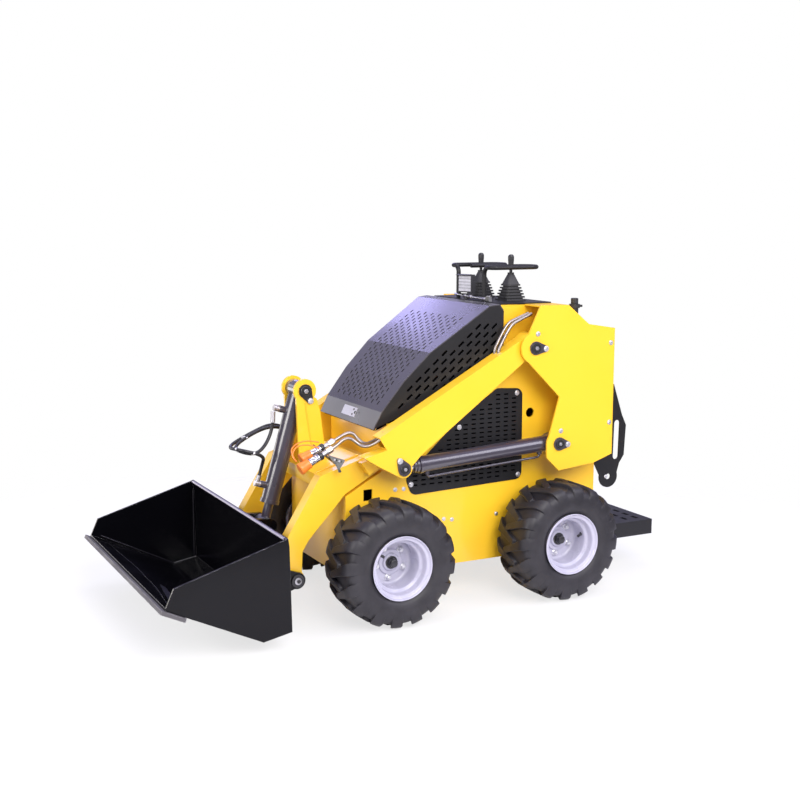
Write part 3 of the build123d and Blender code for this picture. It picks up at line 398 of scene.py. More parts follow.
class Turned:
    """Round or many-sided pieces about an axis, gathered into one mesh."""

    def __init__(self):
        self.points = []
        self.faces = []

    def add(self, place, axis, section, steps=24, turn=0.0):
        """One piece from a section of (radius, height) points, with a flat face at each end."""
        place = Vector(place)
        basis = Vector(axis).to_track_quat("Z", "Y").to_matrix()
        start = len(self.points)
        for radius, height in section:
            for i in range(steps):
                angle = turn + 2 * pi * i / steps
                spot = Vector((radius * cos(angle), radius * sin(angle), height))
                self.points.append(place + basis @ spot)
        for row in range(len(section) - 1):
            for i in range(steps):
                j = (i + 1) % steps
                low = start + row * steps
                high = low + steps
                self.faces.append((low + i, low + j, high + j, high + i))
        last = start + (len(section) - 1) * steps
        self.faces.append(tuple(range(start + steps - 1, start - 1, -1)))
        self.faces.append(tuple(range(last, last + steps)))

    def add_mirrored(self, place, axis, section, steps=24, turn=0.0):
        """One piece on each side of the machine's middle plane."""
        self.add(place, axis, section, steps, turn)
        x, y, z = place
        ax, ay, az = axis
        self.add((x, -y, z), (ax, -ay, az), section, steps, turn)

    def add_oval(self, middle, run, across, half_long, half_thick, half_wide):
        """A closed strap round two hoses side by side."""
        middle, run = Vector(middle), Vector(run).normalized()
        across = Vector(across).normalized()
        up = run.cross(across)
        start = len(self.points)
        steps = 28
        for offset in (-half_wide, half_wide):
            for i in range(steps):
                angle = 2 * pi * i / steps
                self.points.append(middle + run * offset + across * half_long * cos(angle)
                                   + up * half_thick * sin(angle))
        for i in range(steps):
            j = (i + 1) % steps
            self.faces.append((start + i, start + j, start + steps + j, start + steps + i))
        self.faces.append(tuple(range(start + steps - 1, start - 1, -1)))
        self.faces.append(tuple(range(start + steps, start + 2 * steps)))

    def done(self, name, material, body, sharp=radians(35)):
        thing = place_mesh(name, self.points, self.faces, material, body)
        keep_edges(thing, sharp)
        return thing


def place_slabs(name, slabs, material, body):
    """Closed plates in one mesh, each a loop of points and the shift of its other face."""
    points, faces = [], []
    for loop, shift in slabs:
        start = len(points)
        count = len(loop)
        points += [at(*point) for point in loop]
        points += [at(*point) + Vector(shift) for point in loop]
        faces.append(tuple(start + i for i in range(count)))
        faces.append(tuple(start + 2 * count - 1 - i for i in range(count)))
        for i in range(count):
            j = (i + 1) % count
            faces.append((start + i, start + j, start + j + count, start + i + count))
    place_mesh(name, points, faces, material, body, smooth=False)


def hex_head(radius):
    """The section of a bolt's hexagonal head, to be turned in six steps."""
    return [(radius, 0), (radius, radius * 0.55), (radius * 0.86, radius * 0.68)]


def washer(radius):
    return [(radius * 1.35, 0), (radius * 1.35, radius * 0.16), (radius * 0.9, radius * 0.2)]


# Bolts: the face's y, the head's radius, the body and (x, z) places, all on both sides
BOLT_ROWS = [
    (SIDE_Y, 0.0062, "chassis", [(0.273, 0.460), (0.237, 0.459), (0.026, 0.317), (0.062, 0.323),
                                 (-0.560, 0.330), (-0.175, 0.318)]),
    (GRILLE_Y, 0.0075, "chassis", [(-0.262, 0.795), (-0.002, 0.678), (0.207, 0.474),
                                   (-0.272, 0.468)]),
    (TOWER_Y, 0.0075, "chassis", [(-0.280, 1.036), (-0.395, 0.651), (-0.625, 0.987),
                                  (-0.627, 0.668)]),
    (TOWER_RETAINER_Y, 0.0085, "chassis", [(-0.315, 0.978), (-0.426, 0.596)]),
    (LIFT_RETAINER_Y, 0.0085, "boom", [(0.305, 0.591)]),
    (EAR_RETAINER_Y, 0.0085, "boom", [(0.533, 0.789)]),
    (SIDE_Y, 0.0060, "chassis", [(-0.705, 0.417), (-0.668, 0.760), (-0.668, 0.520)]),
]


def make_bolts():
    """The hexagon bolts on the side plates, towers, grilles and pin retainers."""
    for body in ("chassis", "boom"):
        heads = Turned()
        for y, radius, owner, places in BOLT_ROWS:
            if owner != body:
                continue
            for i, (x, z) in enumerate(places):
                spot = at(x, y, z)
                heads.add_mirrored(spot, TO_LEFT, washer(radius), 20)
                heads.add_mirrored(spot, TO_LEFT, hex_head(radius), 6, 0.35 * i)
        heads.done(f"bolts_{body}", BOLT_STEEL, body)


# Tubes and hoses


def smooth_curve(name, route, radius, material, body):
    """A round tube along a smooth line, which has the route's points as its control points."""
    data = bpy.data.curves.new(name, "CURVE")
    data.dimensions = "3D"
    data.bevel_depth = radius
    data.bevel_resolution = 5
    data.resolution_u = 12
    data.use_fill_caps = True
    spline = data.splines.new("NURBS")
    spline.points.add(len(route) - 1)
    for knot, point in zip(spline.points, route):
        knot.co = (*at(*point), 1)
    spline.order_u = 3
    spline.use_endpoint_u = True
    data.materials.append(material)
    thing = bpy.data.objects.new(name, data)
    bpy.context.scene.collection.objects.link(thing)
    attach(thing, body)
    return thing


def centre_line(curve):
    """The points that a smooth tube follows."""
    depth = curve.data.bevel_depth
    curve.data.bevel_depth = 0
    bpy.context.view_layer.update()
    mesh = bpy.data.meshes.new_from_object(curve)
    curve.data.bevel_depth = depth
    points = [vertex.co.copy() for vertex in mesh.vertices]
    bpy.data.meshes.remove(mesh)
    return points


HOSE_RADIUS = 0.0065
# The tilt hoses: name, length, and the points that the line bends by
HOSE_ROUTES = [
    ("tilt_hose_upper", 0.629, [
        (0.661, 0.004, 0.707), (0.667, 0.000, 0.655), (0.732, 0.037, 0.595),
        (0.797, 0.035, 0.607), (0.809, -0.036, 0.619), (0.690, -0.092, 0.662),
        (0.618, -0.094, 0.676), (0.545, -0.092, 0.650), (0.545, -0.092, 0.574)]),
    ("tilt_hose_lower", 0.681, [
        (0.718, 0.004, 0.508), (0.706, 0.004, 0.549), (0.715, 0.054, 0.593),
        (0.812, 0.050, 0.622), (0.824, -0.068, 0.612), (0.694, -0.112, 0.658),
        (0.614, -0.114, 0.684), (0.545, -0.114, 0.649), (0.545, -0.114, 0.574)]),
]
# Where the ties sit along the upper hose's line, as a share of its points
TIE_SHARES = [0.27, 0.40, 0.58]
TIE_WALL = 0.001
TIE_HALF_WIDTH = 0.0035


def make_hoses():
    """The tilt cylinder's two free hoses and the white ties that bundle them."""
    lines = []
    for node, length, route in HOSE_ROUTES:
        hose = smooth_curve(f"{node}_line", route, HOSE_RADIUS, HOSE, "tilt_barrel")
        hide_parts(node)
        lines.append(centre_line(hose))
    ties = Turned()
    upper, lower = lines
    for share in TIE_SHARES:
        i = round(share * (len(upper) - 1))
        spot = upper[i]
        run = (upper[i + 1] - upper[i - 1]).normalized()
        near = min(lower, key=lambda point: (point - spot).length)
        middle = (spot + near) / 2
        across = (near - spot) - run * (near - spot).dot(run)
        half_thick = HOSE_RADIUS + TIE_WALL
        ties.add_oval(middle, run, across, across.length / 2 + half_thick, half_thick,
                      TIE_HALF_WIDTH)
    ties.done("hose_ties", TIE_WHITE, "tilt_barrel")


PIPE_RADIUS = 0.0062
# Steel pipes: the line's points from the tower or beam to the coupler
TOWER_PIPES = [
    [(-0.278, 0.314, 1.110), (-0.225, 0.314, 1.092), (-0.190, 0.314, 1.078),
     (-0.168, 0.314, 1.052), (-0.138, 0.314, 1.000), (-0.128, 0.314, 0.978),
     (-0.127, 0.314, 0.955), (-0.127, 0.314, 0.925)],
    [(-0.278, 0.336, 1.110), (-0.228, 0.336, 1.090), (-0.193, 0.336, 1.075),
     (-0.171, 0.336, 1.048), (-0.142, 0.336, 0.998), (-0.132, 0.336, 0.976),
     (-0.131, 0.336, 0.955), (-0.131, 0.336, 0.925)],
]
KNEE_PIPES = [
    [(0.352, 0.334, 0.684), (0.371, 0.322, 0.663), (0.391, 0.305, 0.646),
     (0.416, 0.280, 0.638), (0.438, 0.262, 0.658), (0.456, 0.256, 0.672),
     (0.484, 0.256, 0.668), (0.513, 0.256, 0.645), (0.548, 0.256, 0.627)],
    [(0.352, 0.330, 0.696), (0.369, 0.318, 0.674), (0.382, 0.280, 0.653),
     (0.389, 0.242, 0.640), (0.404, 0.212, 0.656), (0.420, 0.203, 0.680),
     (0.448, 0.200, 0.679), (0.503, 0.200, 0.651), (0.530, 0.200, 0.639)],
]
# Quick couplers: where the distances along each start, and its direction
COUPLERS = [((0.505, 0.256, 0.651), (0.885, 0.0, -0.466)),
            ((0.472, 0.200, 0.664), (0.915, 0.0, -0.404))]
# Their parts: name, finish, number of sides, and (radius, distance) sections
COUPLER_PARTS = [
    ("nut", ZINC, 6, [(0.0125, 0.026), (0.0135, 0.028), (0.0135, 0.050), (0.0125, 0.052)]),
    ("body", ZINC, 28, [(0.0100, 0.052), (0.0100, 0.072)]),
    ("collar", PIN_BLACK, 28, [(0.0155, 0.071), (0.0165, 0.073), (0.0165, 0.083),
                               (0.0150, 0.085)]),
    ("sleeve", CHROME, 28, [(0.0140, 0.085), (0.0158, 0.087), (0.0158, 0.093), (0.0148, 0.095),
                            (0.0158, 0.097), (0.0158, 0.103), (0.0148, 0.105),
                            (0.0158, 0.107), (0.0158, 0.127), (0.0140, 0.129)]),
    ("cap", ORANGE, 28, [(0.0175, 0.128), (0.0190, 0.130), (0.0195, 0.148), (0.0225, 0.160),
                         (0.0232, 0.167), (0.0215, 0.171)]),
]
TETHER_RADIUS = 0.0026
CAP_TETHERS = [
    [(0.668, 0.256, 0.602), (0.684, 0.252, 0.616), (0.677, 0.242, 0.637),
     (0.653, 0.230, 0.656), (0.600, 0.225, 0.654), (0.572, 0.238, 0.640)],
    [(0.655, 0.200, 0.604), (0.668, 0.190, 0.628), (0.640, 0.178, 0.652),
     (0.590, 0.176, 0.662), (0.550, 0.186, 0.652)],
]


def make_pipes():
    """The bent steel pipes, and the quick couplers with their caps and tethers."""
    for i, route in enumerate(TOWER_PIPES + KNEE_PIPES):
        line = smooth_curve(f"pipe_{i}", route, PIPE_RADIUS, PIPE, "boom")
        if i == 0:
            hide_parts("boom_pipes")
    for name, finish, steps, section in COUPLER_PARTS:
        pieces = Turned()
        for start, run in COUPLERS:
            pieces.add(at(*start), run, section, steps)
        thing = pieces.done(f"coupler_{name}", finish, "boom")
        if name == "sleeve":
            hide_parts("aux_couplers")
        if name == "cap":
            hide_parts("coupler_caps")
    for i, route in enumerate(CAP_TETHERS):
        smooth_curve(f"cap_tether_{i}", route, TETHER_RADIUS, ORANGE, "boom")


# The couplers' bracket: outline and wall of its strap and of its foot, and the screws
BRACKET_PLATES = [
    ([(0.566, 0.165, 0.640), (0.530, 0.290, 0.588), (0.522, 0.300, 0.556),
      (0.514, 0.300, 0.556), (0.518, 0.288, 0.574), (0.556, 0.165, 0.620)],
     (-0.0035, 0, 0.0018)),
    ([(0.548, 0.258, 0.618), (0.500, 0.312, 0.602), (0.520, 0.302, 0.566)],
     (-0.001, -0.0035, -0.001)),
]
BRACKET_SCREWS = [(0.519, 0.301, 0.598), (0.532, 0.288, 0.602)]
BRACKET_SCREW_AXIS = (0.5, 0.8, 0.3)


def make_coupler_bracket():
    """The black strap that holds the two couplers, with its foot on the beam's knee."""
    place_slabs("coupler_bracket", BRACKET_PLATES, PIN_BLACK, "boom")
    screws = Turned()
    for spot in BRACKET_SCREWS:
        screws.add(at(*spot), BRACKET_SCREW_AXIS, hex_head(0.0045), 6)
    screws.done("bracket_screws", ZINC, "boom")


# Hood and grilles: the bent sheet's line, and the pieces on and behind it
HOOD_LINE = [(0.356, 0.693), (0.323, 0.757), (0.235, 0.868), (0.130, 0.972),
             (0.001, 1.061), (-0.117, 1.143), (-0.160, 1.148)]
HOOD_HALF_WIDTH = 0.245
HOOD_TOE_IN = 0.0973
HOOD_LOW_REAR = (-0.170, 0.912)
# The screens of painted shade behind the slots: their depth and wall, then the grille screen's
# outline and its y
SHADE_SCREEN_DEPTH = 0.014
SHADE_SCREEN_WALL = 0.001
GRILLE_SHADE_SCREEN = [(-0.272, 0.798), (-0.274, 0.466), (0.190, 0.450), (0.212, 0.498),
                (0.002, 0.690), (-0.176, 0.804)]
GRILLE_SHADE_SCREEN_Y = 0.2643


def hood_half(x):
    return HOOD_HALF_WIDTH + (HOOD_LINE[0][0] - x) * HOOD_TOE_IN


def make_shade_screens():
    """Black screens of painted shade behind the slots of the hood and the side grilles, where the
    bay inside lies in shade.
    """
    inner = []
    for i, (x, z) in enumerate(HOOD_LINE):
        before = HOOD_LINE[max(i - 1, 0)]
        after = HOOD_LINE[min(i + 1, len(HOOD_LINE) - 1)]
        run = Vector((after[0] - before[0], after[1] - before[1])).normalized()
        inner.append((x - run.y * SHADE_SCREEN_DEPTH, z + run.x * SHADE_SCREEN_DEPTH))
    screens = []
    for (x0, z0), (x1, z1) in zip(inner[:-2], inner[1:-1]):
        side0, side1 = hood_half(x0) - SHADE_SCREEN_DEPTH, hood_half(x1) - SHADE_SCREEN_DEPTH
        loop = [(x0, -side0, z0), (x0, side0, z0), (x1, side1, z1), (x1, -side1, z1)]
        screens.append((loop, (0, 0, -SHADE_SCREEN_WALL)))
    outline = inner + [(HOOD_LOW_REAR[0], inner[-1][1] - SHADE_SCREEN_DEPTH), HOOD_LOW_REAR]
    for side in (-1, 1):
        loop = [(x, side * (hood_half(x) - SHADE_SCREEN_DEPTH / 2), z) for x, z in outline]
        screens.append((loop, (0, -side * SHADE_SCREEN_WALL, 0)))
    place_slabs("hood_shade_screen", screens, SHADE_SCREEN, "hood")
    screens = []
    for side in (-1, 1):
        loop = [(x, side * GRILLE_SHADE_SCREEN_Y, z) for x, z in GRILLE_SHADE_SCREEN]
        screens.append((loop, (0, -side * SHADE_SCREEN_WALL / 2, 0)))
    place_slabs("grille_shade_screen", screens, SHADE_SCREEN, "chassis")


# The latch plate: its corners as (height up the sheet, y), its wall and its gap to the sheet
LATCH_CORNERS = [(0.021, -0.060), (0.021, 0.058), (0.059, 0.058), (0.059, -0.060)]
LATCH_WALL = 0.0016
LATCH_GAP = 0.0004
# Its screws, lock and the small stud beside it: height, y, radius and how far they stand out
LATCH_SCREWS = [(0.030, 0.033, 0.0042, 0.0018), (0.050, 0.033, 0.0042, 0.0018),
                (0.040, 0.052, 0.0065, 0.0025)]
LATCH_STUD = (0.044, 0.080, 0.0028, 0.0012)


def make_hood_latch():
    """The bright latch plate near the hood's front edge, with its dark screws."""
    (x0, z0), (x1, z1) = HOOD_LINE[:2]
    rise = Vector((x1 - x0, 0, z1 - z0)).normalized()
    out = Vector((rise.z, 0, -rise.x))
    foot = Vector((x0, 0, z0))

    def on_sheet(height, y, lift):
        return foot + rise * height + Vector((0, y, 0)) + out * lift

    loop = [on_sheet(height, y, LATCH_GAP) for height, y in LATCH_CORNERS]
    place_slabs("latch_plate", [(loop, out * LATCH_WALL)], LATCH, "hood")
    dark = Turned()
    for height, y, radius, proud in LATCH_SCREWS:
        dark.add(at(*on_sheet(height, y, LATCH_GAP + LATCH_WALL)), out,
                 [(radius, 0), (0.86 * radius, proud)], 24)
    height, y, radius, proud = LATCH_STUD
    dark.add(at(*on_sheet(height, y, LATCH_GAP / 2)), out,
             [(radius, 0), (0.72 * radius, proud)], 16)
    dark.done("latch_screws", PIN_BLACK, "hood")


# Lamp: the middle of its foot, how far it is turned, and its face
LAMP_PLACE = (-0.196, -0.020)
LAMP_TURN = radians(22)
LAMP_FACE = 0.0112
LAMP_HALF = 0.0305
LAMP_LENS_LOW = 1.180
LAMP_LENS_HIGH = 1.242
LAMP_PANE_WALL = 0.0022
LAMP_RIBS = 4
LAMP_RIB_HALF = 0.0006
LAMP_RIB_WALL = 0.0030
LAMP_VISOR = [(0.014, -0.035, 1.2475), (0.014, 0.035, 1.2475), (0.030, 0.034, 1.2445),
              (0.030, -0.034, 1.2445)]
LAMP_VISOR_WALL = 0.0016


def make_lamp_glass():
    """The lamp's ribbed pane and its dark visor."""
    def spot(depth, across, z):
        x = LAMP_PLACE[0] + depth * cos(LAMP_TURN) - across * sin(LAMP_TURN)
        y = LAMP_PLACE[1] + depth * sin(LAMP_TURN) + across * cos(LAMP_TURN)
        return Vector((x, y, z))

    def on_face(low, high):
        return [spot(LAMP_FACE, -LAMP_HALF, low), spot(LAMP_FACE, LAMP_HALF, low),
                spot(LAMP_FACE, LAMP_HALF, high), spot(LAMP_FACE, -LAMP_HALF, high)]

    ahead = spot(1, 0, 0) - spot(0, 0, 0)
    place_slabs("lamp_pane", [(on_face(LAMP_LENS_LOW, LAMP_LENS_HIGH), ahead * LAMP_PANE_WALL)],
                LENS, "chassis")
    ribs = []
    for i in range(LAMP_RIBS):
        z = LAMP_LENS_LOW + (LAMP_LENS_HIGH - LAMP_LENS_LOW) * (i + 1) / (LAMP_RIBS + 1)
        ribs.append((on_face(z - LAMP_RIB_HALF, z + LAMP_RIB_HALF), ahead * LAMP_RIB_WALL))
    ribs.append(([spot(*corner) for corner in LAMP_VISOR], (0, 0, LAMP_VISOR_WALL)))
    place_slabs("lamp_ribs", ribs, LAMP_GREY, "chassis")


# The rod across the dash: its middle's x, then (y, z) points of the rod, its fittings and
# the outline of the bracket at its left end
ROD_X = -0.190
ROD_RADIUS = 0.0042
ROD_POINTS = [(-0.105, 1.164), (0.020, 1.160), (0.150, 1.156)]
ROD_FITTINGS = [(-0.032, 1.1605), (0.012, 1.1595), (0.118, 1.157)]
ROD_FITTING = [(0.0072, 0), (0.0078, 0.002), (0.0078, 0.016), (0.0072, 0.018)]
ROD_BRACKET = [(0.146, 1.149), (0.176, 1.149), (0.172, 1.168), (0.150, 1.168)]
ROD_BRACKET_WIDTH = 0.014
ROD_SCREWS_Y = [0.154, 0.168]


def make_dash_rod():
    """The thin plated rod and its fittings that lie across the dash in front of the levers."""
    smooth_curve("dash_rod", [(ROD_X, y, z) for y, z in ROD_POINTS], ROD_RADIUS, CHROME,
                 "chassis")
    fittings = Turned()
    for y, z in ROD_FITTINGS:
        fittings.add(at(ROD_X, y, z), (0, 1, -0.03), ROD_FITTING, 6)
    fittings.done("dash_fittings", ZINC, "chassis")
    loop = [(ROD_X + ROD_BRACKET_WIDTH / 2, y, z) for y, z in ROD_BRACKET]
    place_slabs("dash_bracket", [(loop, (-ROD_BRACKET_WIDTH, 0, 0))], PIN_BLACK, "chassis")
    screws = Turned()
    for y in ROD_SCREWS_Y:
        screws.add(at(ROD_X, y, ROD_BRACKET[-1][1]), UPWARDS, hex_head(0.0040), 6)
    screws.done("dash_screws", ZINC, "chassis")


# Pin ends: the (x, z) place, the face's y, the ring's radius, the head's radius, the body
PIN_ENDS = [
    (EAR_PIN, EAR_RETAINER_Y, 0.0185, 0.0095, "boom"),
    (LIFT_EYE, LIFT_RETAINER_Y, 0.0165, 0.0070, "boom"),
    (BOOM_PIVOT, TOWER_RETAINER_Y, 0.0190, 0.0080, "chassis"),
    (LIFT_BASE, TOWER_RETAINER_Y, 0.0170, 0.0070, "chassis"),
]
PIN_RECESS = 0.0032


def make_pin_ends():
    """The turned ends of the boom's and cylinders' pins, with a bolt in each."""
    for body in ("boom", "chassis"):
        rings, heads = Turned(), Turned()
        for (x, z), y, radius, head, owner in PIN_ENDS:
            if owner != body:
                continue
            section = [(radius * 1.08, 0), (radius * 1.08, 0.0035), (radius, 0.0050),
                       (radius * 0.72, 0.0050), (radius * 0.66, PIN_RECESS)]
            rings.add_mirrored(at(x, y, z), TO_LEFT, section, 36)
            heads.add_mirrored(at(x, y + PIN_RECESS, z), TO_LEFT, hex_head(head), 6)
        rings.done(f"pin_rings_{body}", PIN_BLACK, body)
        heads.done(f"pin_bolts_{body}", ZINC, body)


GLAND = [(0.029, 0), (0.029, 0.012), (0.026, 0.014), (0.026, 0.022), (0.0235, 0.025)]
GLAND_OVERLAP = 0.002


def make_barrel_glands():
    """The glossy glands at the front ends of the lift barrels."""
    for name, sign in (("left", 1), ("right", -1)):
        front_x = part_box(f"lift_barrel_{name}")[1][0]
        start = at(LIFT_BASE[0], sign * LIFT_Y, LIFT_BASE[1])
        axis = (at(LIFT_EYE[0], sign * LIFT_Y, LIFT_EYE[1]) - start).normalized()
        reach = (front_x - start.x) / axis.x
        gland = Turned()
        gland.add(start + axis * (reach - GLAND_OVERLAP), axis, GLAND, 40)
        gland.done(f"lift_gland_{name}", CYLINDER, f"lift_barrel_{name}")


def weld_bead(beads, start, end, radius=0.0035, pitch=0.0045):
    """Adds a rippled bead along a straight seam."""
    start, end = Vector(start), Vector(end)
    run = end - start
    count = max(2, int(run.length / pitch))
    section = [(radius * (0.82 if k % 2 else 1.0), run.length * k / count)
               for k in range(count + 1)]
    beads.add(start, run.normalized(), section, 8)


# The bucket's inner corners, and the seams of its hitch and the boom, as (x, y, z) ends
BUCKET_SEAMS = [
    ((0.818, 0.515, 0.080), (0.816, 0.515, 0.360)), ((0.905, 0.515, 0.055), (1.205, 0.515, 0.208)),
    ((0.812, 0.515, 0.072), (0.905, 0.515, 0.055)),
]
HITCH_SEAMS = [((0.797, 0.300, 0.110), (0.799, 0.300, 0.345))]
EAR_SEAMS = [((0.460, 0.067, 0.578), (0.572, 0.067, 0.544)),
             ((0.554, 0.0645, 0.784), (0.528, 0.0645, 0.608))]
LEG_SEAMS = [((0.400, 0.208, 0.597), (0.572, 0.208, 0.544))]


def make_welds():
    """The beads along the main seams, the same on both sides."""
    for name, seams, material, body in (("bucket", BUCKET_SEAMS, WELD, "bucket"),
                                        ("hitch", HITCH_SEAMS, WELD, "bucket"),
                                        ("ears", EAR_SEAMS, WELD_YELLOW, "boom"),
                                        ("legs", LEG_SEAMS, WELD_YELLOW, "boom")):
        beads = Turned()
        for start, end in seams:
            for side in (-1, 1):
                first, last = at(*start), at(*end)
                first.y *= side
                last.y *= side
                weld_bead(beads, first, last)
        beads.done(f"welds_{name}", material, body, radians(80))


# Bucket: its floor's inner face from heel to lip as (x, z), and the scraped strips that
# digging has left on it as (share of the way to the lip, y)
FLOOR_HEEL = (0.908, 0.0555)
FLOOR_LIP = (1.240, 0.2135)
SCRAPES = [
    [(1.00, -0.513), (1.00, -0.500), (0.70, -0.494), (0.45, -0.498), (0.30, -0.508),
     (0.45, -0.515)],
    [(0.86, -0.470), (0.80, -0.100), (0.83, 0.200), (0.93, 0.470), (0.925, 0.472),
     (0.82, 0.205), (0.79, -0.100), (0.85, -0.470)],
    [(0.70, 0.100), (0.78, 0.240), (0.86, 0.420), (0.83, 0.440), (0.72, 0.280), (0.66, 0.130)],
]
SCRAPE_LIFT = 0.0006
SCRAPE_WALL = 0.0002
ROLL_PLACE = (0.8185, 0.3925)
ROLL_HALF = 0.505
ROLL_RADIUS = 0.0058
HITCH_RING = [(0.0125, 0), (0.0135, 0.001), (0.0135, 0.003), (0.010, 0.004)]


def make_bucket_trim():
    """The rolled top edge, lavender grey as a painted highlight, the ends of the hitch pins and
    the scraped floor.
    """
    x, z = ROLL_PLACE
    smooth_curve("bucket_rolled_edge", [(x, share * ROLL_HALF, z) for share in (-1, 0, 1)],
                 ROLL_RADIUS, ROLLED_EDGE_HIGHLIGHT, "bucket")
    heel = Vector((FLOOR_HEEL[0], 0, FLOOR_HEEL[1]))
    lip = Vector((FLOOR_LIP[0], 0, FLOOR_LIP[1]))
    up = (lip - heel).cross(Vector(TO_LEFT)).normalized()
    strips = []
    for i, outline in enumerate(SCRAPES):
        lift = SCRAPE_LIFT + SCRAPE_WALL * i
        loop = [heel.lerp(lip, share) + Vector((0, y, 0)) + up * lift for share, y in outline]
        strips.append((loop, up * SCRAPE_WALL))
    place_slabs("bucket_scrapes", strips, SCRAPED, "bucket")
    ends, heads = Turned(), Turned()
    pin = at(BUCKET_PIN[0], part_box("hitch_pins")[1][1], BUCKET_PIN[1])
    ends.add_mirrored(pin, TO_LEFT, HITCH_RING, 32)
    heads.add_mirrored(pin + Vector((0, HITCH_RING[-1][1], 0)), TO_LEFT, hex_head(0.0075), 6)
    ends.done("hitch_pin_rings", ZINC, "bucket")
    heads.done("hitch_pin_bolts", PIN_BLACK, "bucket")


# Engine bay, under the hood: heights are measured from the engine's top face. Each lying or
# standing piece has its place, its axis and its section
ENGINE_TOP = 0.690
AIR_FILTER = [
    ((-0.080, -0.150, 0.075), TO_LEFT,
     [(0.050, 0), (0.058, 0.004), (0.058, 0.030), (0.062, 0.034), (0.062, 0.048),
      (0.058, 0.052), (0.058, 0.230), (0.050, 0.238)]),
    ((-0.080, -0.060, 0.001), UPWARDS, [(0.024, 0), (0.024, 0.030)]),
    ((0.185, -0.120, 0.001), UPWARDS,
     [(0.028, 0), (0.028, 0.012), (0.024, 0.014), (0.024, 0.030), (0.018, 0.034)]),
]
MUFFLER = [
    ((0.110, 0.110, 0.055), (-1, 0, 0),
     [(0.030, 0), (0.043, 0.006), (0.043, 0.176), (0.030, 0.182)]),
    ((0.080, 0.110, 0.001), UPWARDS, [(0.018, 0), (0.018, 0.020)]),
]
INJECTOR = [(0.022, 0), (0.022, 0.018), (0.014, 0.022), (0.014, 0.040)]
INJECTOR_COUNT = 4
INJECTOR_PITCH = 0.070
FIRST_INJECTOR = (0.130, -0.020, 0.001)
BAY_HOSE_RADIUS = 0.0095
# The bay hoses' points: x, the share of their distance from the middle, and height
BAY_HOSE_Y = 0.172
BAY_HOSE = [(0.200, 1, 0.012), (0.100, 1, 0.050), (-0.040, 0.96, 0.016), (-0.170, 0.90, 0.060)]


def make_engine_bay():
    """The pieces on top of the engine that show when the hood stands open."""
    def over(x, y, height):
        return at(x, y, ENGINE_TOP + height)

    dark, bright, cast = Turned(), Turned(), Turned()
    for pieces, mesh in ((AIR_FILTER, dark), (MUFFLER, bright)):
        for place, axis, section in pieces:
            mesh.add(over(*place), axis, section, 36)
    x, y, height = FIRST_INJECTOR
    for i in range(INJECTOR_COUNT):
        spot = over(x - INJECTOR_PITCH * i, y, height)
        cast.add(spot, UPWARDS, INJECTOR)
        bright.add(spot + Vector((0, 0, INJECTOR[-1][1])), UPWARDS, hex_head(0.008), 6)
    dark.done("air_filter", PLASTIC, "chassis")
    bright.done("muffler", ZINC, "chassis")
    cast.done("injectors", CAST, "chassis")
    for i, side in enumerate((-1, 1)):
        route = [(x, side * BAY_HOSE_Y * share, ENGINE_TOP + height)
                 for x, share, height in BAY_HOSE]
        smooth_curve(f"bay_hose_{i}", route, BAY_HOSE_RADIUS, HOSE, "chassis")


# The back sheet's face and its service panel, with corners and bolts as (y, z)
BACK_X = -0.6515
PANEL_CORNERS = [(-0.200, 0.560), (0.200, 0.560), (0.200, 0.960), (-0.200, 0.960)]
PANEL_WALL = 0.0025
PANEL_BOLTS = [(y, z) for y in (-0.185, 0.185) for z in (0.575, 0.760, 0.945)]
VENT_COUNT = 8
VENT_HALF = 0.120
VENT_LOW = 0.700
VENT_PITCH = 0.028
VENT_HEIGHT = 0.012
VENT_DEPTH = 0.0079
VENT_RISE = 0.004
HANDLE_Z = 0.640
HANDLE_RADIUS = 0.0055
# The handle's points: distance behind the sheet, and y
HANDLE = [(0.004, -0.060), (0.034, -0.058), (0.036, 0.000), (0.034, 0.058), (0.004, 0.060)]
# The bolts in the step's rear face
STEP_BACK_X = -0.9645
STEP_BOLTS = [(y, 0.172) for y in (-0.215, -0.075, 0.075, 0.215)]


def make_rear_panel():
    """The bolted service panel, its vents and handle, and the bolts of the step."""
    loop = [(BACK_X, y, z) for y, z in PANEL_CORNERS]
    place_slabs("service_panel", [(loop, (-PANEL_WALL, 0, 0))], YELLOW, "chassis")
    vents = []
    near_x = BACK_X - PANEL_WALL - 0.0001
    far_x = near_x - VENT_DEPTH
    for row in range(VENT_COUNT):
        z = VENT_LOW + VENT_PITCH * row
        loop = [(near_x, -VENT_HALF, z), (near_x, VENT_HALF, z),
                (far_x, VENT_HALF, z + VENT_RISE), (far_x, -VENT_HALF, z + VENT_RISE)]
        vents.append((loop, (0, 0, VENT_HEIGHT)))
    place_slabs("service_vents", vents, BLACK, "chassis")
    heads = Turned()
    for y, z in PANEL_BOLTS:
        spot = at(BACK_X - PANEL_WALL, y, z)
        heads.add(spot, (-1, 0, 0), washer(0.0070), 20)
        heads.add(spot, (-1, 0, 0), hex_head(0.0070), 6)
    for y, z in STEP_BOLTS:
        heads.add(at(STEP_BACK_X, y, z), (-1, 0, 0), hex_head(0.0070), 6)
    heads.done("rear_bolts", ZINC, "chassis")
    smooth_curve("service_handle", [(BACK_X - behind, y, HANDLE_Z) for behind, y in HANDLE],
                 HANDLE_RADIUS, PIN_BLACK, "chassis")


# Wheels
AXLE_Z = 0.230
WHEEL_Y = 0.412
HALF_WHEELBASE = 0.367
LUGS_PER_SIDE = 16
WHEELS = [(end, side, end_sign * HALF_WHEELBASE, side_sign)
          for end, end_sign in (("front", 1), ("rear", -1))
          for side, side_sign in (("left", 1), ("right", -1))]

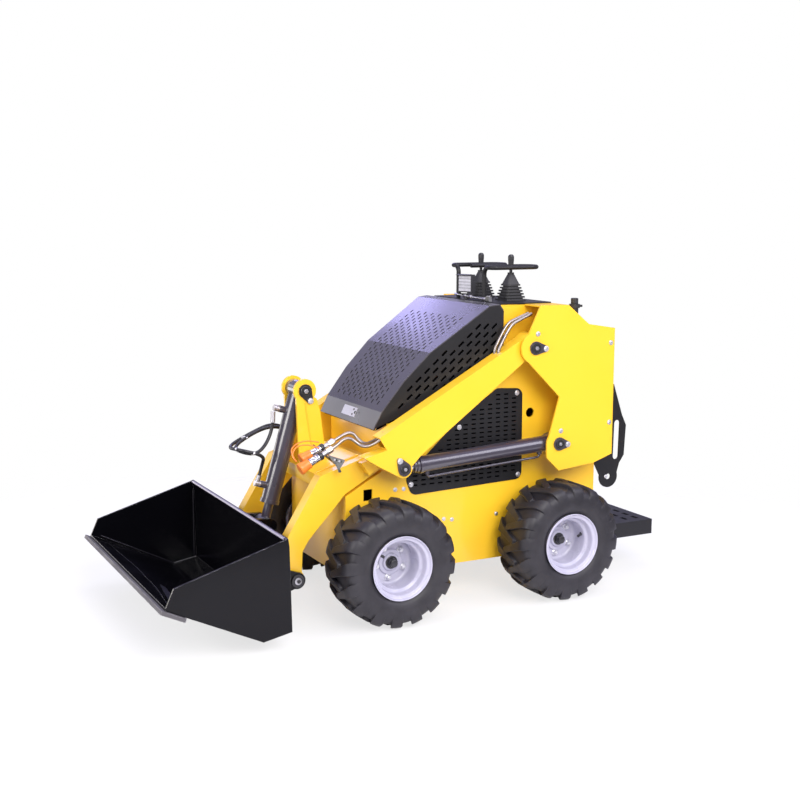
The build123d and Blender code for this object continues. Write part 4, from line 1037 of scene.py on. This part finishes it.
# The tyre's sections as (distance outwards from its middle, radius), to be joined smoothly
CARCASS = [(0.0, 0.2165), (0.045, 0.2160), (0.075, 0.2130), (0.092, 0.2065), (0.1025, 0.1945),
           (0.1075, 0.1760), (0.1080, 0.1600), (0.1060, 0.1450), (0.1020, 0.1330),
           (0.0975, 0.1262), (0.0965, 0.1225), (0.0925, 0.1190)]
CROWN = [(0.0, 0.2300), (0.040, 0.2300), (0.070, 0.2285), (0.088, 0.2240), (0.100, 0.2140),
         (0.1065, 0.2010), (0.1085, 0.1880)]


def radius_at(section, across):
    """The radius of a section at a distance from the tyre's middle, by straight runs."""
    across = abs(across)
    for (y0, r0), (y1, r1) in zip(section, section[1:]):
        if across <= y1:
            return r0 + (r1 - r0) * (across - y0) / (y1 - y0)
    return section[-1][1]


def smoothed(section, rounds=2):
    """A section with its corners cut off, which keeps its two ends."""
    for _ in range(rounds):
        cut = [section[0]]
        for (y0, r0), (y1, r1) in zip(section, section[1:]):
            cut.append((0.75 * y0 + 0.25 * y1, 0.75 * r0 + 0.25 * r1))
            cut.append((0.25 * y0 + 0.75 * y1, 0.25 * r0 + 0.75 * r1))
        cut.append(section[-1])
        section = cut
    return section


def tyre_mesh():
    """Points and faces of one tyre about its own middle, with slanted lugs."""
    points, faces = [], []
    half = smoothed(CARCASS)
    section = [(-y, r) for y, r in reversed(half[1:])] + half
    steps = 128
    for i in range(steps):
        angle = 2 * pi * i / steps
        for y, r in section:
            points.append((r * cos(angle), y, r * sin(angle)))
    rows = len(section)
    for i in range(steps):
        j = (i + 1) % steps
        for k in range(rows - 1):
            faces.append((i * rows + k, i * rows + k + 1, j * rows + k + 1, j * rows + k))
    pitch = 2 * pi / LUGS_PER_SIDE
    for i in range(LUGS_PER_SIDE):
        add_lug(points, faces, i * pitch, 1)
        add_lug(points, faces, (i + 0.5) * pitch, -1)
    return points, faces


# A lug's stations from its inner end to its foot on the shoulder: distance outwards from the
# tyre's middle, the turn of its middle line in degrees, half its width in degrees, and how
# far its top stands up towards the crown
LUG_STATIONS = [
    (-0.036, -7.2, 2.6, 0.30), (-0.032, -7.0, 3.2, 0.97), (0.000, -3.7, 3.5, 1.0),
    (0.035, -0.2, 4.0, 1.0), (0.065, 2.9, 4.7, 1.0), (0.084, 5.0, 5.8, 1.0),
    (0.098, 6.3, 6.4, 1.0), (0.1055, 6.9, 6.2, 0.95), (0.1080, 7.2, 5.4, 0.35),
]
LUG_TOP_INSET = 0.55
LUG_SINK = 0.004
LUG_EDGE_DROP = 0.002


def add_lug(points, faces, middle, side):
    """One lug of the tread, with sloped flanks that go down into the carcass."""
    start = len(points)
    for across, turn, half_width, height in LUG_STATIONS:
        foot = radius_at(CARCASS, across) - LUG_SINK
        crown = radius_at(CROWN, across)
        top = foot + (crown - foot) * height
        edge = top - LUG_EDGE_DROP
        for offset, radius in ((-half_width - 0.5, foot), (-half_width, edge),
                               (-half_width + LUG_TOP_INSET, top), (0.0, top),
                               (half_width - LUG_TOP_INSET, top), (half_width, edge),
                               (half_width + 0.5, foot)):
            angle = middle + radians(turn + offset)
            points.append((radius * cos(angle), side * across, radius * sin(angle)))
    across_count = 7
    for row in range(len(LUG_STATIONS) - 1):
        for k in range(across_count - 1):
            a = start + row * across_count + k
            b = a + across_count
            quad = (a, a + 1, b + 1, b)
            faces.append(quad if side < 0 else quad[::-1])
    first = tuple(range(start, start + across_count))
    last_start = start + (len(LUG_STATIONS) - 1) * across_count
    last = tuple(range(last_start, last_start + across_count))
    faces.append(first if side > 0 else first[::-1])
    faces.append(last[::-1] if side > 0 else last)


# The rim's section as (distance outwards from the wheel's middle, radius): the outer flange,
# two steps, the well and the hub's disc, and then the same from behind
RIM_FACE = [(0.0985, 0.1185), (0.1025, 0.1197), (0.1042, 0.1186), (0.1038, 0.1160),
            (0.0985, 0.1140), (0.0950, 0.1115), (0.0935, 0.1050), (0.0920, 0.1020),
            (0.0800, 0.1000), (0.0690, 0.0985), (0.0650, 0.0955), (0.0632, 0.0890),
            (0.0610, 0.0862), (0.0500, 0.0850), (0.0250, 0.0842), (0.0060, 0.0838),
            (-0.0020, 0.0810), (-0.0055, 0.0740), (-0.0060, 0.0620), (-0.0060, 0.0500),
            (-0.0045, 0.0480), (-0.0005, 0.0470), (0.0005, 0.0450), (0.0005, 0.0360),
            (0.0015, 0.0335), (0.0060, 0.0320), (0.0080, 0.0300), (0.0080, 0.0190)]
RIM_BACK = [(0.0965, 0.1172), (0.0930, 0.1140), (0.0560, 0.1075), (-0.0080, 0.1060),
            (-0.0900, 0.1090), (-0.1030, 0.1195), (-0.1030, 0.1165), (-0.0920, 0.1000),
            (-0.0160, 0.0880), (-0.0160, 0.0380), (-0.0760, 0.0380), (-0.0780, 0.0190)]
WHEEL_BOLT_CIRCLE = 0.058
WHEEL_BOLT_COUNT = 5
WHEEL_BOLT_TURN = radians(135)
DISC_Y = -0.006
# A wheel bolt's washer, head and end, the hub's nut and the valve, as (radius, height)
WHEEL_BOLT = [([(0.0125, 0), (0.0125, 0.002), (0.0105, 0.004)], 20),
              ([(0.0095, 0.003), (0.0095, 0.012), (0.0080, 0.014)], 6),
              ([(0.0050, 0.013), (0.0050, 0.018), (0.0040, 0.019)], 12)]
HUB_NUT = [([(0.0240, 0.007), (0.0240, 0.010), (0.0220, 0.011)], 32, 0),
           ([(0.0195, 0.010), (0.0195, 0.024), (0.0175, 0.026)], 6, 0.3),
           ([(0.0135, 0.025), (0.0135, 0.033), (0.0120, 0.034)], 24, 0)]
VALVE = [(0.0080, 0), (0.0062, 0.003), (0.0045, 0.006), (0.0045, 0.015), (0.0052, 0.016),
         (0.0052, 0.024), (0.0042, 0.025)]
VALVE_RADIUS = 0.0850
VALVE_Y = 0.042
VALVE_LEAN = 0.45
# Where the valve comes through the dish of each wheel, from the forward direction
VALVE_TURNS = {"front": radians(35), "rear": radians(168)}


def make_wheels():
    """The lugged tyres and the dished rims with their bolts, nut and valve."""
    tyre_points, tyre_faces = tyre_mesh()
    for end, side, x, sign in WHEELS:
        body = f"wheel_{end}_{side}"
        middle = at(x, sign * WHEEL_Y, AXLE_Z)
        placed = [(middle.x + px, middle.y + py, middle.z + pz) for px, py, pz in tyre_points]
        tyre = place_mesh(f"tread_{end}_{side}", placed, tyre_faces, TYRE, body)
        keep_edges(tyre, radians(38))
        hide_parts(f"tyre_{end}_{side}")

        out = (0, sign, 0)
        dish = Turned()
        dish.add(middle, out, [(r, y) for y, r in smoothed(RIM_BACK[::-1] + RIM_FACE, 1)], 96)
        rim = dish.done(f"dish_{end}_{side}", RIM, body, radians(50))
        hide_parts(f"rim_{end}_{side}")

        bolts = Turned()
        for i in range(WHEEL_BOLT_COUNT):
            angle = WHEEL_BOLT_TURN + 2 * pi * i / WHEEL_BOLT_COUNT
            spot = middle + Vector((WHEEL_BOLT_CIRCLE * cos(angle), DISC_Y * sign,
                                    WHEEL_BOLT_CIRCLE * sin(angle)))
            for section, steps in WHEEL_BOLT:
                bolts.add(spot, out, section, steps, angle)
        bolts.done(f"wheel_bolts_{end}_{side}", BOLT_STEEL, body)

        nut = Turned()
        for section, steps, turn in HUB_NUT:
            nut.add(middle, out, section, steps, turn)
        nut.done(f"hub_nut_{end}_{side}", PIN_BLACK, body)

        valve = Turned()
        angle = VALVE_TURNS[end]
        seat = middle + Vector((VALVE_RADIUS * cos(angle), VALVE_Y * sign,
                                VALVE_RADIUS * sin(angle)))
        inwards = Vector((-cos(angle), VALVE_LEAN * sign, -sin(angle)))
        valve.add(seat, inwards, VALVE, 16)
        valve.done(f"valve_{end}_{side}", RUBBER, body)


bpy.context.scene.view_settings.view_transform = "Standard"
make_camera()
make_stage()
dress_nodes()
make_hoses()
make_pipes()
make_coupler_bracket()
make_shade_screens()
make_hood_latch()
make_lamp_glass()
make_dash_rod()
make_pin_ends()
make_barrel_glands()
make_welds()
make_bucket_trim()
make_engine_bay()
make_rear_panel()
make_bolts()
make_wheels()
